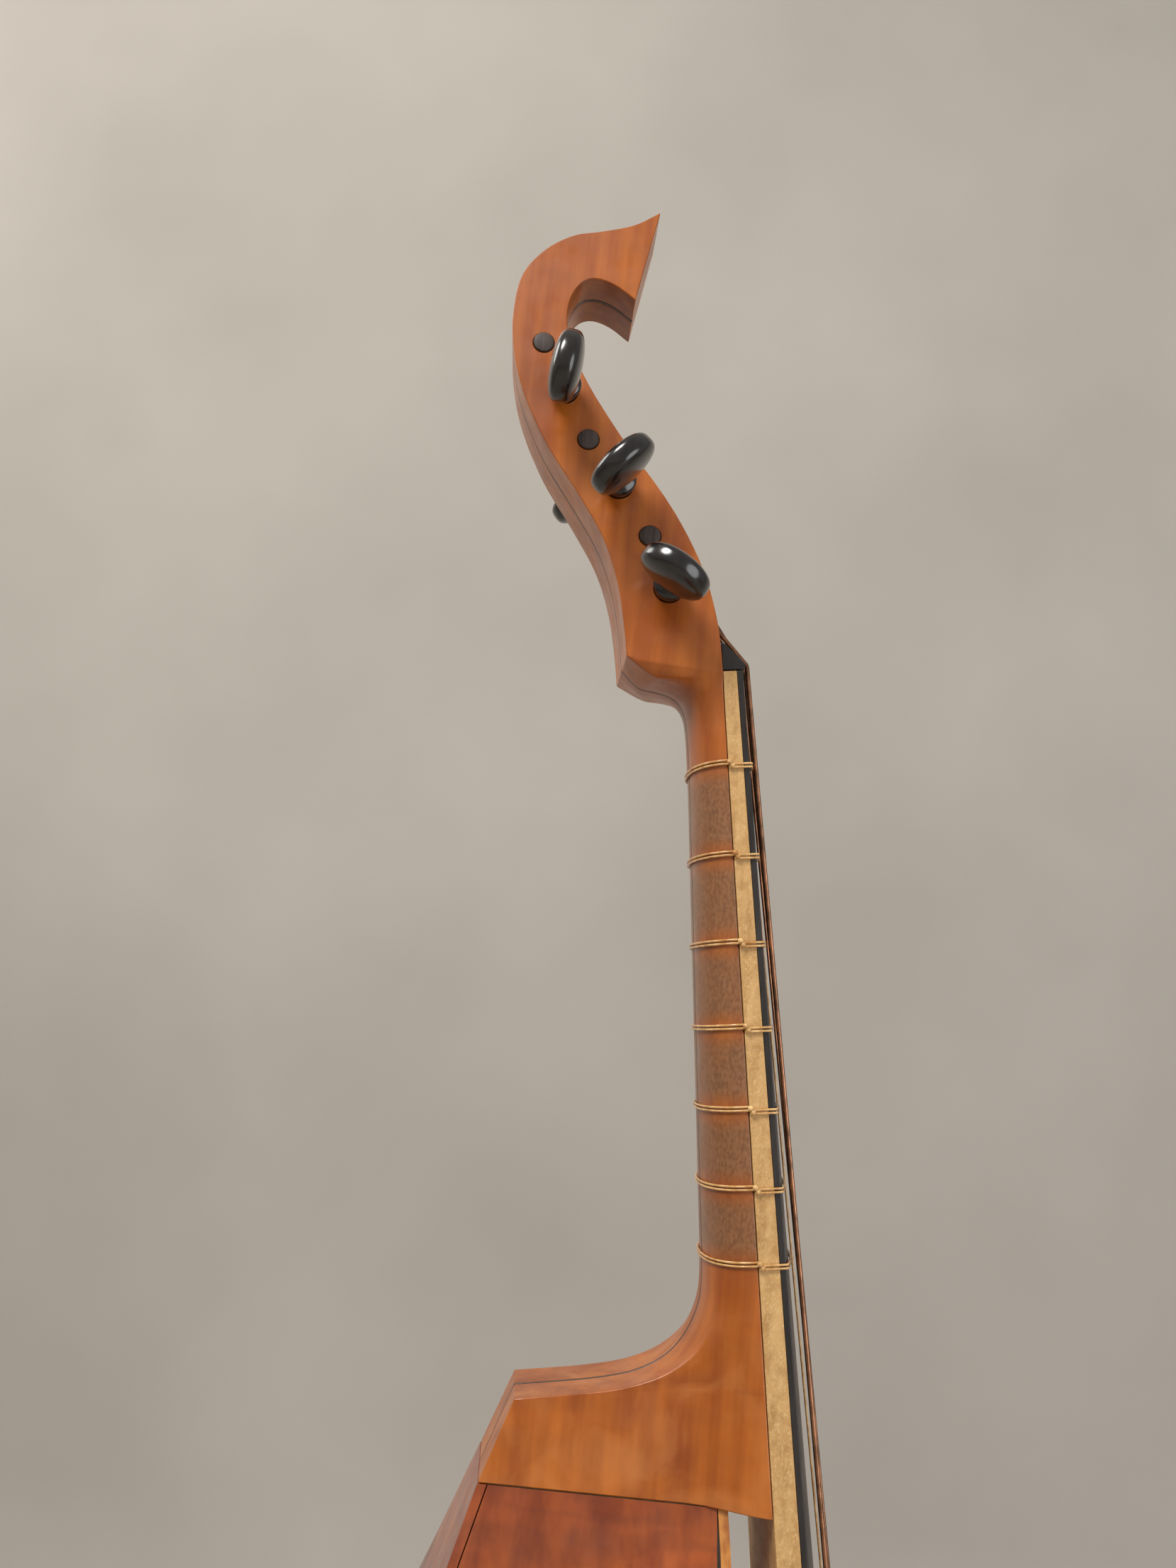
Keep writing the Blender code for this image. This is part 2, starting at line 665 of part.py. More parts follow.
def string(number):
    """A string from its tailpiece hole over bridge and nut to where its turning peg sweeps past."""
    diameter = STRING_DIAMETERS[number - 1]
    land, leave = string_ends(number)
    radius = winding_radius(number, winding_start(number)[1])
    clear = math.sqrt(2 * radius * diameter + diameter ** 2) + GAP
    path = [land + (leave - land).normalized() * clear, leave]
    path.append(in_neck(string_forward(number, 0), NUT_CREST, string_bass(number, 0)))
    for along in (GAP, STRING_LENGTH - BRIDGE_TOP_THICK / 2):
        path.append(in_neck(string_forward(number, along), -along, string_bass(number, along)))
    behind = STRING_LENGTH + BRIDGE_TOP_THICK / 2
    path.append(in_neck(string_forward(number, behind) - GAP, -behind, string_bass(number, behind)))
    hole = tailpiece_hole(number)
    out = tailpiece_normal()
    lift = TAILPIECE_THICK / 2 + diameter / 2 + GAP + FIT_TO_ARCH
    path.append(world_to_neck(hole + out * lift))
    path.append(world_to_neck(hole - out * (TAILPIECE_THICK / 2 + 2 * MM)))
    material = COPPER_WOUND if number > PLAIN_STRINGS else GUT
    tube(f"string_{number}", path, diameter / 2, material, NECK, sides=1)


# Body: plates, ribs and what is glued inside

def below_joint(points, steps):
    """Outline points as (half width, distance below the joint) in metres."""
    return [(x * MM, d * MM) for x, d in smooth(points, steps)]


def body_outline(steps=2):
    upper = below_joint(UPPER_BOUT, steps)
    waist = below_joint(WAIST, steps)
    lower = below_joint(LOWER_BOUT, steps)
    return upper + waist[1:] + lower[1:]


def outline_z(y, distance):
    """Height of an outline point: the joint's slant and gap die out over the upper bout."""
    joint = joint_z(y) - JOINT_BELLY_Z - GAP
    return JOINT_BELLY_Z - distance + joint * max(0.0, 1 - distance / JOINT_FADE)


ARCH_TABLE = [(d * MM, x * MM) for x, d in smooth(ARCH_EDGE, 4)]


def belly_rise(x, distance):
    """How far the belly's outer face stands in front of its edge."""
    places = [row[0] for row in ARCH_TABLE]
    widths = [row[1] for row in ARCH_TABLE]
    half = float(np.interp(distance, places, widths))
    middle = BODY_LENGTH / 2
    along = max(0.0, 1 - abs((distance - middle) / middle) ** 3)
    across = max(0.0, 1 - (abs(x) / half) ** 2.1)
    return BELLY_ARCH * along * across


def belly():
    columns = 8
    rings = []
    for half, distance in body_outline():
        z = outline_z(-BODY_DEPTH, distance)
        outer = []
        inner = []
        for i in range(columns + 1):
            x = half * (2 * i / columns - 1)
            front = -BODY_DEPTH - belly_rise(x, distance)
            outer.append(Vector((x, front, z)))
            inner.append(Vector((x, front + BELLY_EDGE, z)))
        rings.append(outer + inner[::-1])
    plate = lofted("belly", rings, SPRUCE)
    for side in (-1, 1):
        cut(plate, sound_hole(side))
    return plate


SOUND_HOLE_MIDDLE = (-78 * MM, 352 * MM)
SOUND_HOLE_RADIUS = 62 * MM
SOUND_HOLE_HALF_LENGTH = 44 * MM
SOUND_HOLE_END = 6.2 * MM


def sound_hole(side):
    """A C hole whose round ends turn out towards the edge of the belly."""
    count = 20
    reach = SOUND_HOLE_HALF_LENGTH + SOUND_HOLE_END
    left = []
    right = []
    for k in range(count + 1):
        run = reach * math.sin(math.pi * (k / count - 0.5))
        body = blend(1.6 * MM, 3.6 * MM, math.cos(math.pi / 2 * run / reach) ** 1.5)
        from_end = abs(run) - SOUND_HOLE_HALF_LENGTH
        ball = math.sqrt(max(0.0, SOUND_HOLE_END**2 - from_end**2))
        half = ball if from_end > 0 else max(body, ball)
        angle = run / SOUND_HOLE_RADIUS
        for edge, bulge in ((left, -half), (right, half)):
            radius = SOUND_HOLE_RADIUS + bulge
            x = SOUND_HOLE_MIDDLE[0] - SOUND_HOLE_RADIUS + radius * math.cos(angle)
            edge.append((side * -x, SOUND_HOLE_MIDDLE[1] - radius * math.sin(angle)))
    outline = left + right[-2:0:-1]
    rings = []
    for y in (-BODY_DEPTH - 2 * BELLY_ARCH, -BODY_DEPTH + BELLY_ARCH):
        rings.append([Vector((x, y, JOINT_BELLY_Z - d)) for x, d in outline])
    name = "sound_hole_bass" if side < 0 else "sound_hole_treble"
    return lofted(name, rings, None, None, CUTTERS)


def back():
    rings = []
    rows = [(half, distance) for half, distance in body_outline()]
    fold = JOINT_BELLY_Z - BACK_FOLD_Z
    for i, (a, b) in enumerate(zip(rows, rows[1:])):
        if a[1] < fold < b[1]:
            t = (fold - a[1]) / (b[1] - a[1])
            rows.insert(i + 1, (blend(a[0], b[0], t), fold))
            break
    for half, distance in rows:
        z = outline_z(back_face(JOINT_BELLY_Z - distance), distance)
        outer = back_face(z)
        inner = outer - PLATE
        ring = [Vector((x, y, z)) for x, y in ((-half, outer), (half, outer), (half, inner), (-half, inner))]
        rings.append(ring)
    lofted("back", rings, RIB_MAPLE)


def inward(points, depth):
    """The outline moved towards the inside by a thickness, square to its run."""
    moved = []
    for i, (x, d) in enumerate(points):
        ax, ad = points[max(0, i - 1)]
        bx, bd = points[min(len(points) - 1, i + 1)]
        run_x, run_d = bx - ax, bd - ad
        length = math.hypot(run_x, run_d)
        moved.append((x - run_d / length * depth, d + run_x / length * depth))
    return moved


def edge_point(x, distance, depth):
    """A point at a depth that is a function of height, at a distance below the slanted joint."""
    z = outline_z(depth(JOINT_BELLY_Z - distance), distance)
    return Vector((x, depth(z), z))


def strip_along(bm, points, outside, thickness, y_front, y_back, side):
    """A bent strip inside the outline, between two depths given as functions of z."""
    outer = inward(points, outside) if outside else points
    inner = inward(points, outside + thickness)
    rings = []
    for (ox, od), (ix, idist) in zip(outer, inner):
        ring = []
        for x, distance, at_back in ((ox, od, 0), (ox, od, 1), (ix, idist, 1), (ix, idist, 0)):
            ring.append(edge_point(side * x, distance, y_back if at_back else y_front))
        rings.append(ring)
    return loft(bm, rings)


def rib_front(z):
    return -BODY_DEPTH + BELLY_EDGE + GAP


def rib_back(z):
    return back_face(z) - PLATE / math.cos(BACK_CANT) - GAP


def part_of(points, start, stop):
    """A stretch of an outline between two distances along it; one below zero counts from its end."""
    knots = np.array(points)
    lengths = np.concatenate([[0], np.cumsum(np.linalg.norm(np.diff(knots, axis=0), axis=1))])
    start = start + lengths[-1] if start < 0 else start
    stop = stop + lengths[-1] if stop <= 0 else stop
    keep = [s for s in lengths if start + MM < s < stop - MM]
    places = [start] + keep + [stop]
    return [(float(np.interp(s, lengths, knots[:, 0])), float(np.interp(s, lengths, knots[:, 1]))) for s in places]


BOUTS = {
    "upper": (UPPER_BOUT, 0.0, 0.0),
    "waist": (WAIST, 3.6 * MM, -3.6 * MM),
    "lower": (LOWER_BOUT, 0.0, 0.0),
}
SIDES = {"bass": -1, "treble": 1}


def ribs():
    for bout, (points, start, stop) in BOUTS.items():
        stretch = part_of(below_joint(points, 2), start, stop)
        if bout == "lower":
            stretch.append((HOOK_WIDTH / 2 + GAP, BODY_LENGTH))
        for side_name, side in SIDES.items():
            bm = strip_along(bmesh.new(), stretch, 0.0, RIB, rib_front, rib_back, side)
            add(f"rib_{bout}_{side_name}", bm, RIB_MAPLE)


def box(name, low, high, material, parent=None, group=PARTS):
    bm = bmesh.new()
    bmesh.ops.create_cube(bm, size=1)
    low, high = Vector(low), Vector(high)
    for vert in bm.verts:
        vert.co = Vector((low[i] if vert.co[i] < 0 else high[i] for i in range(3)))
    return add(name, bm, material, parent, group)


LINING_SPANS = {"upper": (58 * MM, -40 * MM), "waist": (36 * MM, -36 * MM), "lower": (40 * MM, -22 * MM)}


def lining_back(z):
    return rib_front(z) + LINING_HEIGHT


def linings():
    """Strips of spruce that widen the ribs' front edges for gluing, between the blocks."""
    for bout, (points, _, _) in BOUTS.items():
        stretch = part_of(below_joint(points, 2), *LINING_SPANS[bout])
        for side_name, side in SIDES.items():
            bm = strip_along(bmesh.new(), stretch, RIB + GAP, LINING_WIDTH, rib_front, lining_back, side)
            add(f"lining_{bout}_{side_name}", bm, PLAIN_SPRUCE)


def block(name, plan, material, cutter=None):
    """An upright block between belly and back, from its plan of (half width, distance) points."""
    rings = []
    for at_back in (False, True):
        ring = []
        for x, distance in plan:
            ring.append(edge_point(x, distance, rib_back if at_back else rib_front))
        rings.append(ring)
    item = lofted(name, rings, material)
    if cutter:
        cut(item, cutter)
    return item


def corner_plan(above, below):
    """Plan of the block behind a corner: along both ribs, and across the inside."""
    ribs_side = inward(part_of(above, -BLOCK_REACH, -8 * MM), RIB + GAP)
    ribs_side += inward(part_of(below, 9 * MM, BLOCK_REACH), RIB + GAP)
    inside = inward([ribs_side[0], ribs_side[-1]], BLOCK_DEPTH)
    return ribs_side + inside[::-1]


def blocks(hook_recess):
    upper, waist, lower = (below_joint(points, 2) for points in (UPPER_BOUT, WAIST, LOWER_BOUT))
    edge = inward(part_of(upper, 0.0, 48 * MM), RIB + GAP)
    edge[0] = (edge[0][0] - FIT_TO_ARCH, 0.0)
    block("top_block", edge + [(-x, d) for x, d in edge[::-1]], PLAIN_SPRUCE)
    bottom = BODY_LENGTH - RIB - GAP - 1.5 * MM
    half, height = 24 * MM, 21 * MM
    plan = [(-half, bottom), (-half, bottom - height), (half, bottom - height), (half, bottom)]
    block("end_block", plan, PLAIN_SPRUCE, hook_recess)
    for name, above, below in (("upper", upper, waist), ("lower", waist, lower)):
        plan = corner_plan(above, below)
        for side_name, side in SIDES.items():
            block(f"corner_block_{name}_{side_name}", [(side * x, d) for x, d in plan], PLAIN_SPRUCE)


def half_at(distance):
    outline = body_outline()
    return float(np.interp(distance, [d for _, d in outline], [x for x, _ in outline]))


def belly_inside(x, distance):
    """Depth of the belly's inner face, with a little to spare for what is fitted to it."""
    return -BODY_DEPTH - belly_rise(x, distance) + BELLY_EDGE + FIT_TO_ARCH


def back_braces():
    """Cross bars on the flat back, and the wide plate that the sound post stands on."""
    face = -PLATE - GAP
    bars = {"back_bar_fold": BACK_FOLD_Z - 13 * MM, "back_bar_upper": 295 * MM, "back_bar_lower": -5 * MM}
    for name, low in bars.items():
        narrowest = min(half_at(JOINT_BELLY_Z - low), half_at(JOINT_BELLY_Z - low - BACK_BAR))
        half = narrowest - RIB - GAP - LINING_WIDTH - 3 * MM
        box(name, (-half, face - BACK_BAR_DEPTH, low), (half, face, low + BACK_BAR), PLAIN_SPRUCE)
    z = JOINT_BELLY_Z - SOUND_POST_PLACE[1]
    box("soundpost_plate", (-100 * MM, face - SOUND_PLATE_THICK, z - 45 * MM), (100 * MM, face, z + 45 * MM),
        PLAIN_SPRUCE)


def sound_post():
    x, distance = SOUND_POST_PLACE
    bottom = -PLATE - 2 * GAP - SOUND_PLATE_THICK
    bm = bmesh.new()
    bmesh.ops.create_cone(bm, segments=ROUND_SIDES, radius1=SOUND_POST_RADIUS, radius2=SOUND_POST_RADIUS,
                          depth=1, cap_ends=True)
    for vert in bm.verts:
        across, down, end = vert.co
        y = bottom if end < 0 else belly_inside(x + across, distance + down)
        vert.co = Vector((x + across, y, JOINT_BELLY_Z - distance - down))
    add("sound_post", bm, PLAIN_SPRUCE)


def bass_bar():
    rings = []
    count = 12
    for i in range(count + 1):
        distance = blend(BASS_BAR_START, BASS_BAR_END, i / count)
        depth = blend(4 * MM, BASS_BAR_DEPTH, math.sin(math.pi * i / count) ** 0.7)
        sides = (BASS_BAR_X - BASS_BAR_WIDTH / 2, BASS_BAR_X + BASS_BAR_WIDTH / 2)
        top = [(x, belly_inside(x, distance)) for x in sides]
        low = max(y for _, y in top) + depth
        ring = [(x, y) for x, y in top] + [(x, low) for x in sides[::-1]]
        rings.append([Vector((x, y, JOINT_BELLY_Z - distance)) for x, y in ring])
    lofted("bass_bar", rings, PLAIN_SPRUCE)


# Bridge, tailpiece and the bar that it hangs on

def prism_along_z(name, outline, z, half, material=None, group=CUTTERS):
    """An outline of (x, front distance) carried through a thickness along Z."""
    rings = [[Vector((x, -g, z + end * half)) for x, g in outline] for end in (-1, 1)]
    return lofted(name, rings, material, None, group)


def bridge_top(x):
    """How far in front of the back the bridge's edge is, just under the strings."""
    places = [(n - 3.5) / 2.5 for n in range(1, 7)]
    place = -x / BRIDGE_SPREAD
    radius = float(np.interp(place, places, STRING_DIAMETERS)) / 2
    forward = BRIDGE_OUTER_FORWARD + BRIDGE_CROWN * (1 - place**2) - radius - 2 * GAP
    return -neck_to_world(forward, -STRING_LENGTH, -x).y


def bridge():
    z = neck_to_world(BRIDGE_OUTER_FORWARD, -STRING_LENGTH, 0).z
    distance = JOINT_BELLY_Z - z
    seat = BODY_DEPTH + belly_rise(0, distance)
    count = 4
    feet = [blend(BRIDGE_FOOT_INNER, BRIDGE_FOOT_OUTER, i / count) for i in range(count + 1)]
    right = [(x * MM, seat + h * MM) for x, h in BRIDGE_ARCH[::-1]]
    right += [(x, BODY_DEPTH + belly_rise(x, distance) + GAP) for x in feet]
    right += [(x * MM, seat + h * MM) for x, h in BRIDGE_SIDE]
    half_top = 39.5 * MM
    right += [(half_top * (1 - i / 7), bridge_top(half_top * (1 - i / 7))) for i in range(7)]
    left = [(-x, g) for x, g in right[1:]]
    left[-7:] = [(-half_top * (1 - i / 7), bridge_top(-half_top * (1 - i / 7))) for i in range(7)]
    outline = right + [(0.0, bridge_top(0.0))] + left[::-1]
    rings = []
    for end in (-1, 1):
        ring = []
        for x, g in outline:
            thick = blend(BRIDGE_FOOT_THICK, BRIDGE_TOP_THICK, (g - seat) / (bridge_top(0.0) - seat))
            ring.append(Vector((x, -g, z + end * thick / 2)))
        rings.append(ring)
    item = lofted("bridge", rings, BRIDGE_MAPLE)
    heart = BRIDGE_HEART + [(-x, h) for x, h in BRIDGE_HEART[-2:0:-1]]
    holes = [heart, BRIDGE_SLOT, [(-x, h) for x, h in BRIDGE_SLOT]]
    for i, hole in enumerate(holes):
        outline = [(x * MM, seat + h * MM) for x, h in hole]
        cut(item, prism_along_z(f"bridge_hole_{i + 1}", outline, z, BRIDGE_FOOT_THICK))


def tailpiece_axes():
    """Unit vectors along the tailpiece, from tail to head, and out of its face."""
    sine = (TAILPIECE_HEAD_RISE - TAILPIECE_TAIL_RISE) / TAILPIECE_LENGTH
    cosine = math.sqrt(1 - sine**2)
    return Vector((0, -sine, cosine)), Vector((0, -cosine, -sine))


def tailpiece_normal():
    return tailpiece_axes()[1]


def tailpiece_half(along):
    places = [a * MM for a, _ in TAILPIECE_WIDTHS]
    return float(np.interp(along, places, [w * MM for _, w in TAILPIECE_WIDTHS]))


def tailpiece_point(x, along, above):
    """A point of the tailpiece: across, along from its tail end, and above its middle."""
    run, out = tailpiece_axes()
    crown = TAILPIECE_CROWN * (0.35 + 0.65 * along / TAILPIECE_LENGTH)
    crown *= 1 - (x / tailpiece_half(along)) ** 2
    tail = Vector((x, -BODY_DEPTH - TAILPIECE_TAIL_RISE, TAILPIECE_END_Z))
    return tail + run * along + out * (above + crown)


def tailpiece_hole(number):
    place = (number - 3.5) / 2.5
    return tailpiece_point(-place * TAILPIECE_SPREAD, TAILPIECE_LENGTH - TAILPIECE_HOLE_FROM_HEAD, 0)


def tailpiece():
    columns = 8
    rings = []
    for along in [a * MM for a, _ in TAILPIECE_WIDTHS]:
        half = tailpiece_half(along)
        places = [half * (2 * i / columns - 1) for i in range(columns + 1)]
        top = [tailpiece_point(x, along, TAILPIECE_THICK / 2) for x in places]
        under = [tailpiece_point(x, along, -TAILPIECE_THICK / 2) for x in places]
        rings.append(top + under[::-1])
    item = lofted("tailpiece", rings, EBONY)
    across = HOOK_WIDTH / 2 + HOOK_SIDE_CLEARANCE
    low, high = hook_span()
    cut(item, box("tailpiece_slot", (-across, -BODY_DEPTH - 40 * MM, low - HOOK_SIDE_CLEARANCE),
                  (across, -BODY_DEPTH, high + HOOK_SIDE_CLEARANCE), None, None, CUTTERS))
    out = tailpiece_normal()
    for number in range(1, 7):
        bm = bmesh.new()
        radius = STRING_DIAMETERS[number - 1] / 2 + 2 * GAP
        turn = out.to_track_quat("Z", "Y").to_matrix().to_4x4()
        bmesh.ops.create_cone(bm, segments=ROUND_SIDES // 2, radius1=radius, radius2=radius, depth=20 * MM,
                              cap_ends=True, matrix=Matrix.Translation(tailpiece_hole(number)) @ turn)
        cut(item, add(f"tailpiece_hole_{number}", bm, None, None, CUTTERS))


def hook_span():
    """Heights of the hook bar's lower and upper faces."""
    low = JOINT_BELLY_Z - BODY_LENGTH
    return low, low + HOOK_THICK


def hook_bar():
    """A bar let into the tail of the body, with a nose that holds the tailpiece down."""
    low, high = hook_span()
    foot = -PLATE - GAP
    front = -BODY_DEPTH - TAILPIECE_TAIL_RISE
    nose = front - TAILPIECE_THICK / 2 - 3.4 * MM
    outline = [(foot, low), (foot, high), (nose - 7 * MM, high), (nose - 7 * MM, low - 4 * MM),
               (nose - 4 * MM, low - 7 * MM), (nose, low - 7 * MM), (nose, low)]
    rings = [[Vector((end * HOOK_WIDTH / 2, y, z)) for y, z in outline] for end in (-1, 1)]
    lofted("hook_bar", rings, EBONY)
    recess = HOOK_WIDTH / 2 + GAP
    return box("hook_recess", (-recess, nose, low - 10 * MM), (recess, foot + PLATE, high + GAP),
               None, None, CUTTERS)


# Everything is put together from the neck down

neck_pieces = [neck_half("neck_bass_half", 1), neck_half("neck_treble_half", -1), centre_strip()]
mortise = mortise_cutter()
peg_holes = [peg(*row[:5]) for row in PEGS]
for piece in neck_pieces:
    cut(piece, mortise)
    for peg_hole in peg_holes:
        cut(piece, peg_hole)
fingerboard()
nut()
fret_gaps = [fret(number) for number in range(1, FRETS + 1)]
winding_gaps = [winding(number) for number in range(1, 7)]
for string_number in range(1, 7):
    string(string_number)
print(f"least gap between turns: frets {min(fret_gaps) / MM:.2f} mm, windings {min(winding_gaps) / MM:.2f} mm")
recess_cutter = hook_bar()
cut(belly(), recess_cutter)
back()
ribs()
linings()
blocks(recess_cutter)
back_braces()
sound_post()
bass_bar()
bridge()
tailpiece()
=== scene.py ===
"""A seven-fretted bass viola da gamba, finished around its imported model."""

import json
import math

import bmesh
import bpy
import numpy as np
from mathutils import Matrix, Vector

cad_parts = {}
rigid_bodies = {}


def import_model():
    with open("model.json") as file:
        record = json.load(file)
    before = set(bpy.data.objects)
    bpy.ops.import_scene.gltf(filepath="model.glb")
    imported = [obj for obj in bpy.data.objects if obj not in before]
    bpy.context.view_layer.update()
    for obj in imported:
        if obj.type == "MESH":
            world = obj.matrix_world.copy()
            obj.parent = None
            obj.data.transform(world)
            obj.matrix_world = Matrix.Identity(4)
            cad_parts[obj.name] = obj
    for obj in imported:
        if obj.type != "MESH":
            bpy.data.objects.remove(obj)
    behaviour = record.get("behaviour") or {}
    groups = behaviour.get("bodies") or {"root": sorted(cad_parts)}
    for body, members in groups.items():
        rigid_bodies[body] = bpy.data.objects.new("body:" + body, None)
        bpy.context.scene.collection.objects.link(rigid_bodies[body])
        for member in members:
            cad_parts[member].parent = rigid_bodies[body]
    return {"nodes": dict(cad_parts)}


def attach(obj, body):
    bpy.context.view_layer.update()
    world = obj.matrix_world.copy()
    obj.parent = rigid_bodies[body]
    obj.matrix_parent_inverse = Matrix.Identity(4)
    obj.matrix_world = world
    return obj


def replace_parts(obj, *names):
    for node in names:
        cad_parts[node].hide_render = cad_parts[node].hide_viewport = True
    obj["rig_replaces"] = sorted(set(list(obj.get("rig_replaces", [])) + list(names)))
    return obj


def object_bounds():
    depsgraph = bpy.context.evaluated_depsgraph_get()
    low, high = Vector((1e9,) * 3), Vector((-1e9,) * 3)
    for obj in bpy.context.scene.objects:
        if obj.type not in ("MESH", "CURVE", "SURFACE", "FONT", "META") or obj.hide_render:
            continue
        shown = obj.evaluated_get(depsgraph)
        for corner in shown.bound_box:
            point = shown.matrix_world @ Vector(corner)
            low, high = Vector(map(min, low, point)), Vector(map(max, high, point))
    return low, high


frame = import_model()
cad_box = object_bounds()
MM = 0.001
GAP = 0.3 * MM

# The camera stands close to the neck on its bass side, a little below the nut, and looks up at
# the head, as in the photograph.
CAMERA_PLACE = (-0.51967, -0.03412, 0.69641)
CAMERA_RIGHT = Vector((-0.0553, -0.9942, 0.0920))
CAMERA_UP = Vector((-0.1604, 0.0998, 0.9819))
CAMERA_FORWARD = Vector((0.9855, -0.0395, 0.1650))
camera_data = bpy.data.cameras.new("camera")
camera_data.sensor_fit = "HORIZONTAL"
camera_data.sensor_width = 36.0
camera_data.lens = 38.8
camera = bpy.data.objects.new("camera", camera_data)
turned_to = Matrix((CAMERA_RIGHT, CAMERA_UP, -CAMERA_FORWARD)).transposed().to_4x4()
camera.matrix_world = Matrix.Translation(CAMERA_PLACE) @ turned_to
bpy.context.scene.collection.objects.link(camera)
bpy.context.scene.camera = camera
bpy.context.scene.view_settings.view_transform = "Standard"


# The light is a large soft lamp above and to the left of the camera, a wide weak one from the
# right, a small one behind the head for its edges, and a pale world.
def lamp(name, place, target, size, watts, colour):
    """A round soft lamp that points at a target, in metres and watts."""
    data = bpy.data.lights.new(name, "AREA")
    data.shape = "DISK"
    data.size = size
    data.energy = watts
    data.color = colour
    made = bpy.data.objects.new(name, data)
    made.location = place
    made.rotation_euler = (Vector(target) - Vector(place)).to_track_quat("-Z", "Y").to_euler()
    bpy.context.scene.collection.objects.link(made)


lamp("window", (-1.3, 0.9, 2.5), (0, -0.1, 0.85), 1.0, 50, (1.0, 0.97, 0.93))
lamp("fill", (-1.7, -1.8, 0.7), (0, -0.1, 0.7), 1.8, 24, (0.97, 0.98, 1.0))
lamp("edge", (0.4, 1.4, 1.9), (0, -0.1, 0.9), 0.8, 9, (1.0, 0.98, 0.95))
world = bpy.data.worlds.new("world")
world.use_nodes = True
world.node_tree.nodes["Background"].inputs["Color"].default_value = (0.64, 0.62, 0.59, 1)
world.node_tree.nodes["Background"].inputs["Strength"].default_value = 0.6
bpy.context.scene.world = world


# The neck is two halves of flamed maple glued to a thin dark strip. Its varnish is orange on head
# and heel, and hands have worn it grey-brown between the frets.
NECK_ORIGIN = Vector((0, -104.1 * MM, 831.3 * MM))
NECK_ANGLE = math.radians(7.5)
TILT = Matrix.Rotation(-NECK_ANGLE, 3, "X")
PEGBOX_HALF_WIDTH_CHIN = 26.4 * MM
PEGBOX_HALF_WIDTH_HEAD = 18.3 * MM
CHIN_UP = 6.3 * MM
HEAD_UP = 165.7 * MM
CHEEK = 5.6 * MM
STRIP = 1.2 * MM
NECK_ROUNDNESS = 2.3
COVE = 30 * MM
ARRIS = 0.45 * MM
RELAX_BELOW = -252.0
# Neck stations: depth, up at the back, up at the front, half width in front, half width of the
# heel's flat side (all millimetres), and how square the section is, 0 to 1
CHIN_STATIONS = [
    (39.0, 6.5, -1.3, 26.4, 26.4, 1.0),
    (32.0, -1.1, -2.6, 25.7, 25.7, 0.5),
    (26.0, -2.8, -4.3, 25.2, 25.2, 0.25),
    (20.0, -4.8, -6.3, 24.9, 24.9, 0.1),
    (16.0, -7.8, -8.8, 24.7, 24.7, 0.03),
    (13.6, -12.5, -12.5, 24.7, 24.7, 0.0),
    (12.6, -21.0, -21.0, 24.8, 24.8, 0.0),
    (12.6, -45.0, -45.0, 25.2, 25.2, 0.0),
]
HEEL_STATIONS = [
    (17.4, -229.0, -229.0, 28.3, 26.0, 0.0),
    (18.6, -243.0, -243.0, 28.5, 22.0, 0.05),
    (20.8, -250.5, -250.5, 28.6, 19.5, 0.16),
    (24.8, -257.6, -257.6, 28.7, 18.6, 0.38),
    (30.0, -263.6, -263.8, 28.9, 18.4, 0.64),
    (38.0, -268.8, -269.1, 28.9, 18.4, 0.86),
    (48.0, -271.9, -272.3, 29.0, 18.4, 1.0),
    (63.0, -273.4, -273.9, 29.0, 18.4, 1.0),
    (79.0, -273.8, -274.6, 29.0, 18.4, 1.0),
    (92.4, -274.0, -275.4, 29.0, 18.4, 1.0),
]
HEEL_FOOT = (106.4, -300.9, -317.2, 29.7, 22.0, 1.0)
# Head outline and pegbox hollow, as (forward, up) in millimetres
HEAD_FRONT = [(-0.4, 7), (-1.2, 20), (-5.5, 42), (-16.1, 68.1), (-37.6, 104), (-51.4, 131), (-57, 149),
              (-56, 165), (-50.5, 174.1), (-44.4, 175.9), (-36.5, 173), (-27.5, 165.6)]
HEAD_BACK = [(-14.5, 208), (-26, 202), (-40.3, 198.9), (-52.7, 197), (-65.2, 190.3), (-75.5, 178.5),
             (-80.2, 160), (-80.6, 147), (-78, 127.5), (-68.9, 101.2), (-55.6, 76.6), (-46.2, 57.1),
             (-41.3, 38), (-39.4, 18), (-39, 6.5)]
MORTISE_FLOOR = [(-29.5, 16), (-31, 32), (-34.5, 48), (-43, 67), (-55, 88), (-63.5, 107), (-71, 127),
                 (-75.2, 146), (-73, 154.5)]
MORTISE_MOUTH = [(-45, 155), (-20, 131), (-10, 104), (6, 60), (12, 13.5), (1, 12.6)]
# Pegs: string number, side (1 bass, -1 treble), forward, up (mm), turn of the head (degrees),
# and how far from the centre plane the string first touches the peg (mm)
PEGS = [
    (1, -1, -26.9, 57.6, 62, 16),
    (2, -1, -50.5, 101.0, 35, 11.2),
    (3, -1, -67.6, 145.8, 74, 9),
    (4, 1, -59.7, 123.5, 75, 6.2),
    (5, 1, -38.8, 80.4, 40, 13.3),
    (6, 1, -20.4, 34.8, -37, 15.5),
]
PEG_TIP_RADIUS = 4.45 * MM
PEG_TAPER = 1 / 30
PEG_CLEARANCE = 0.25 * MM
FRETS = 7
STRING_LENGTH = 690 * MM


def blend(a, b, t):
    return a + (b - a) * t


def ease(t):
    t = min(1.0, max(0.0, t))
    return t * t * (3 - 2 * t)


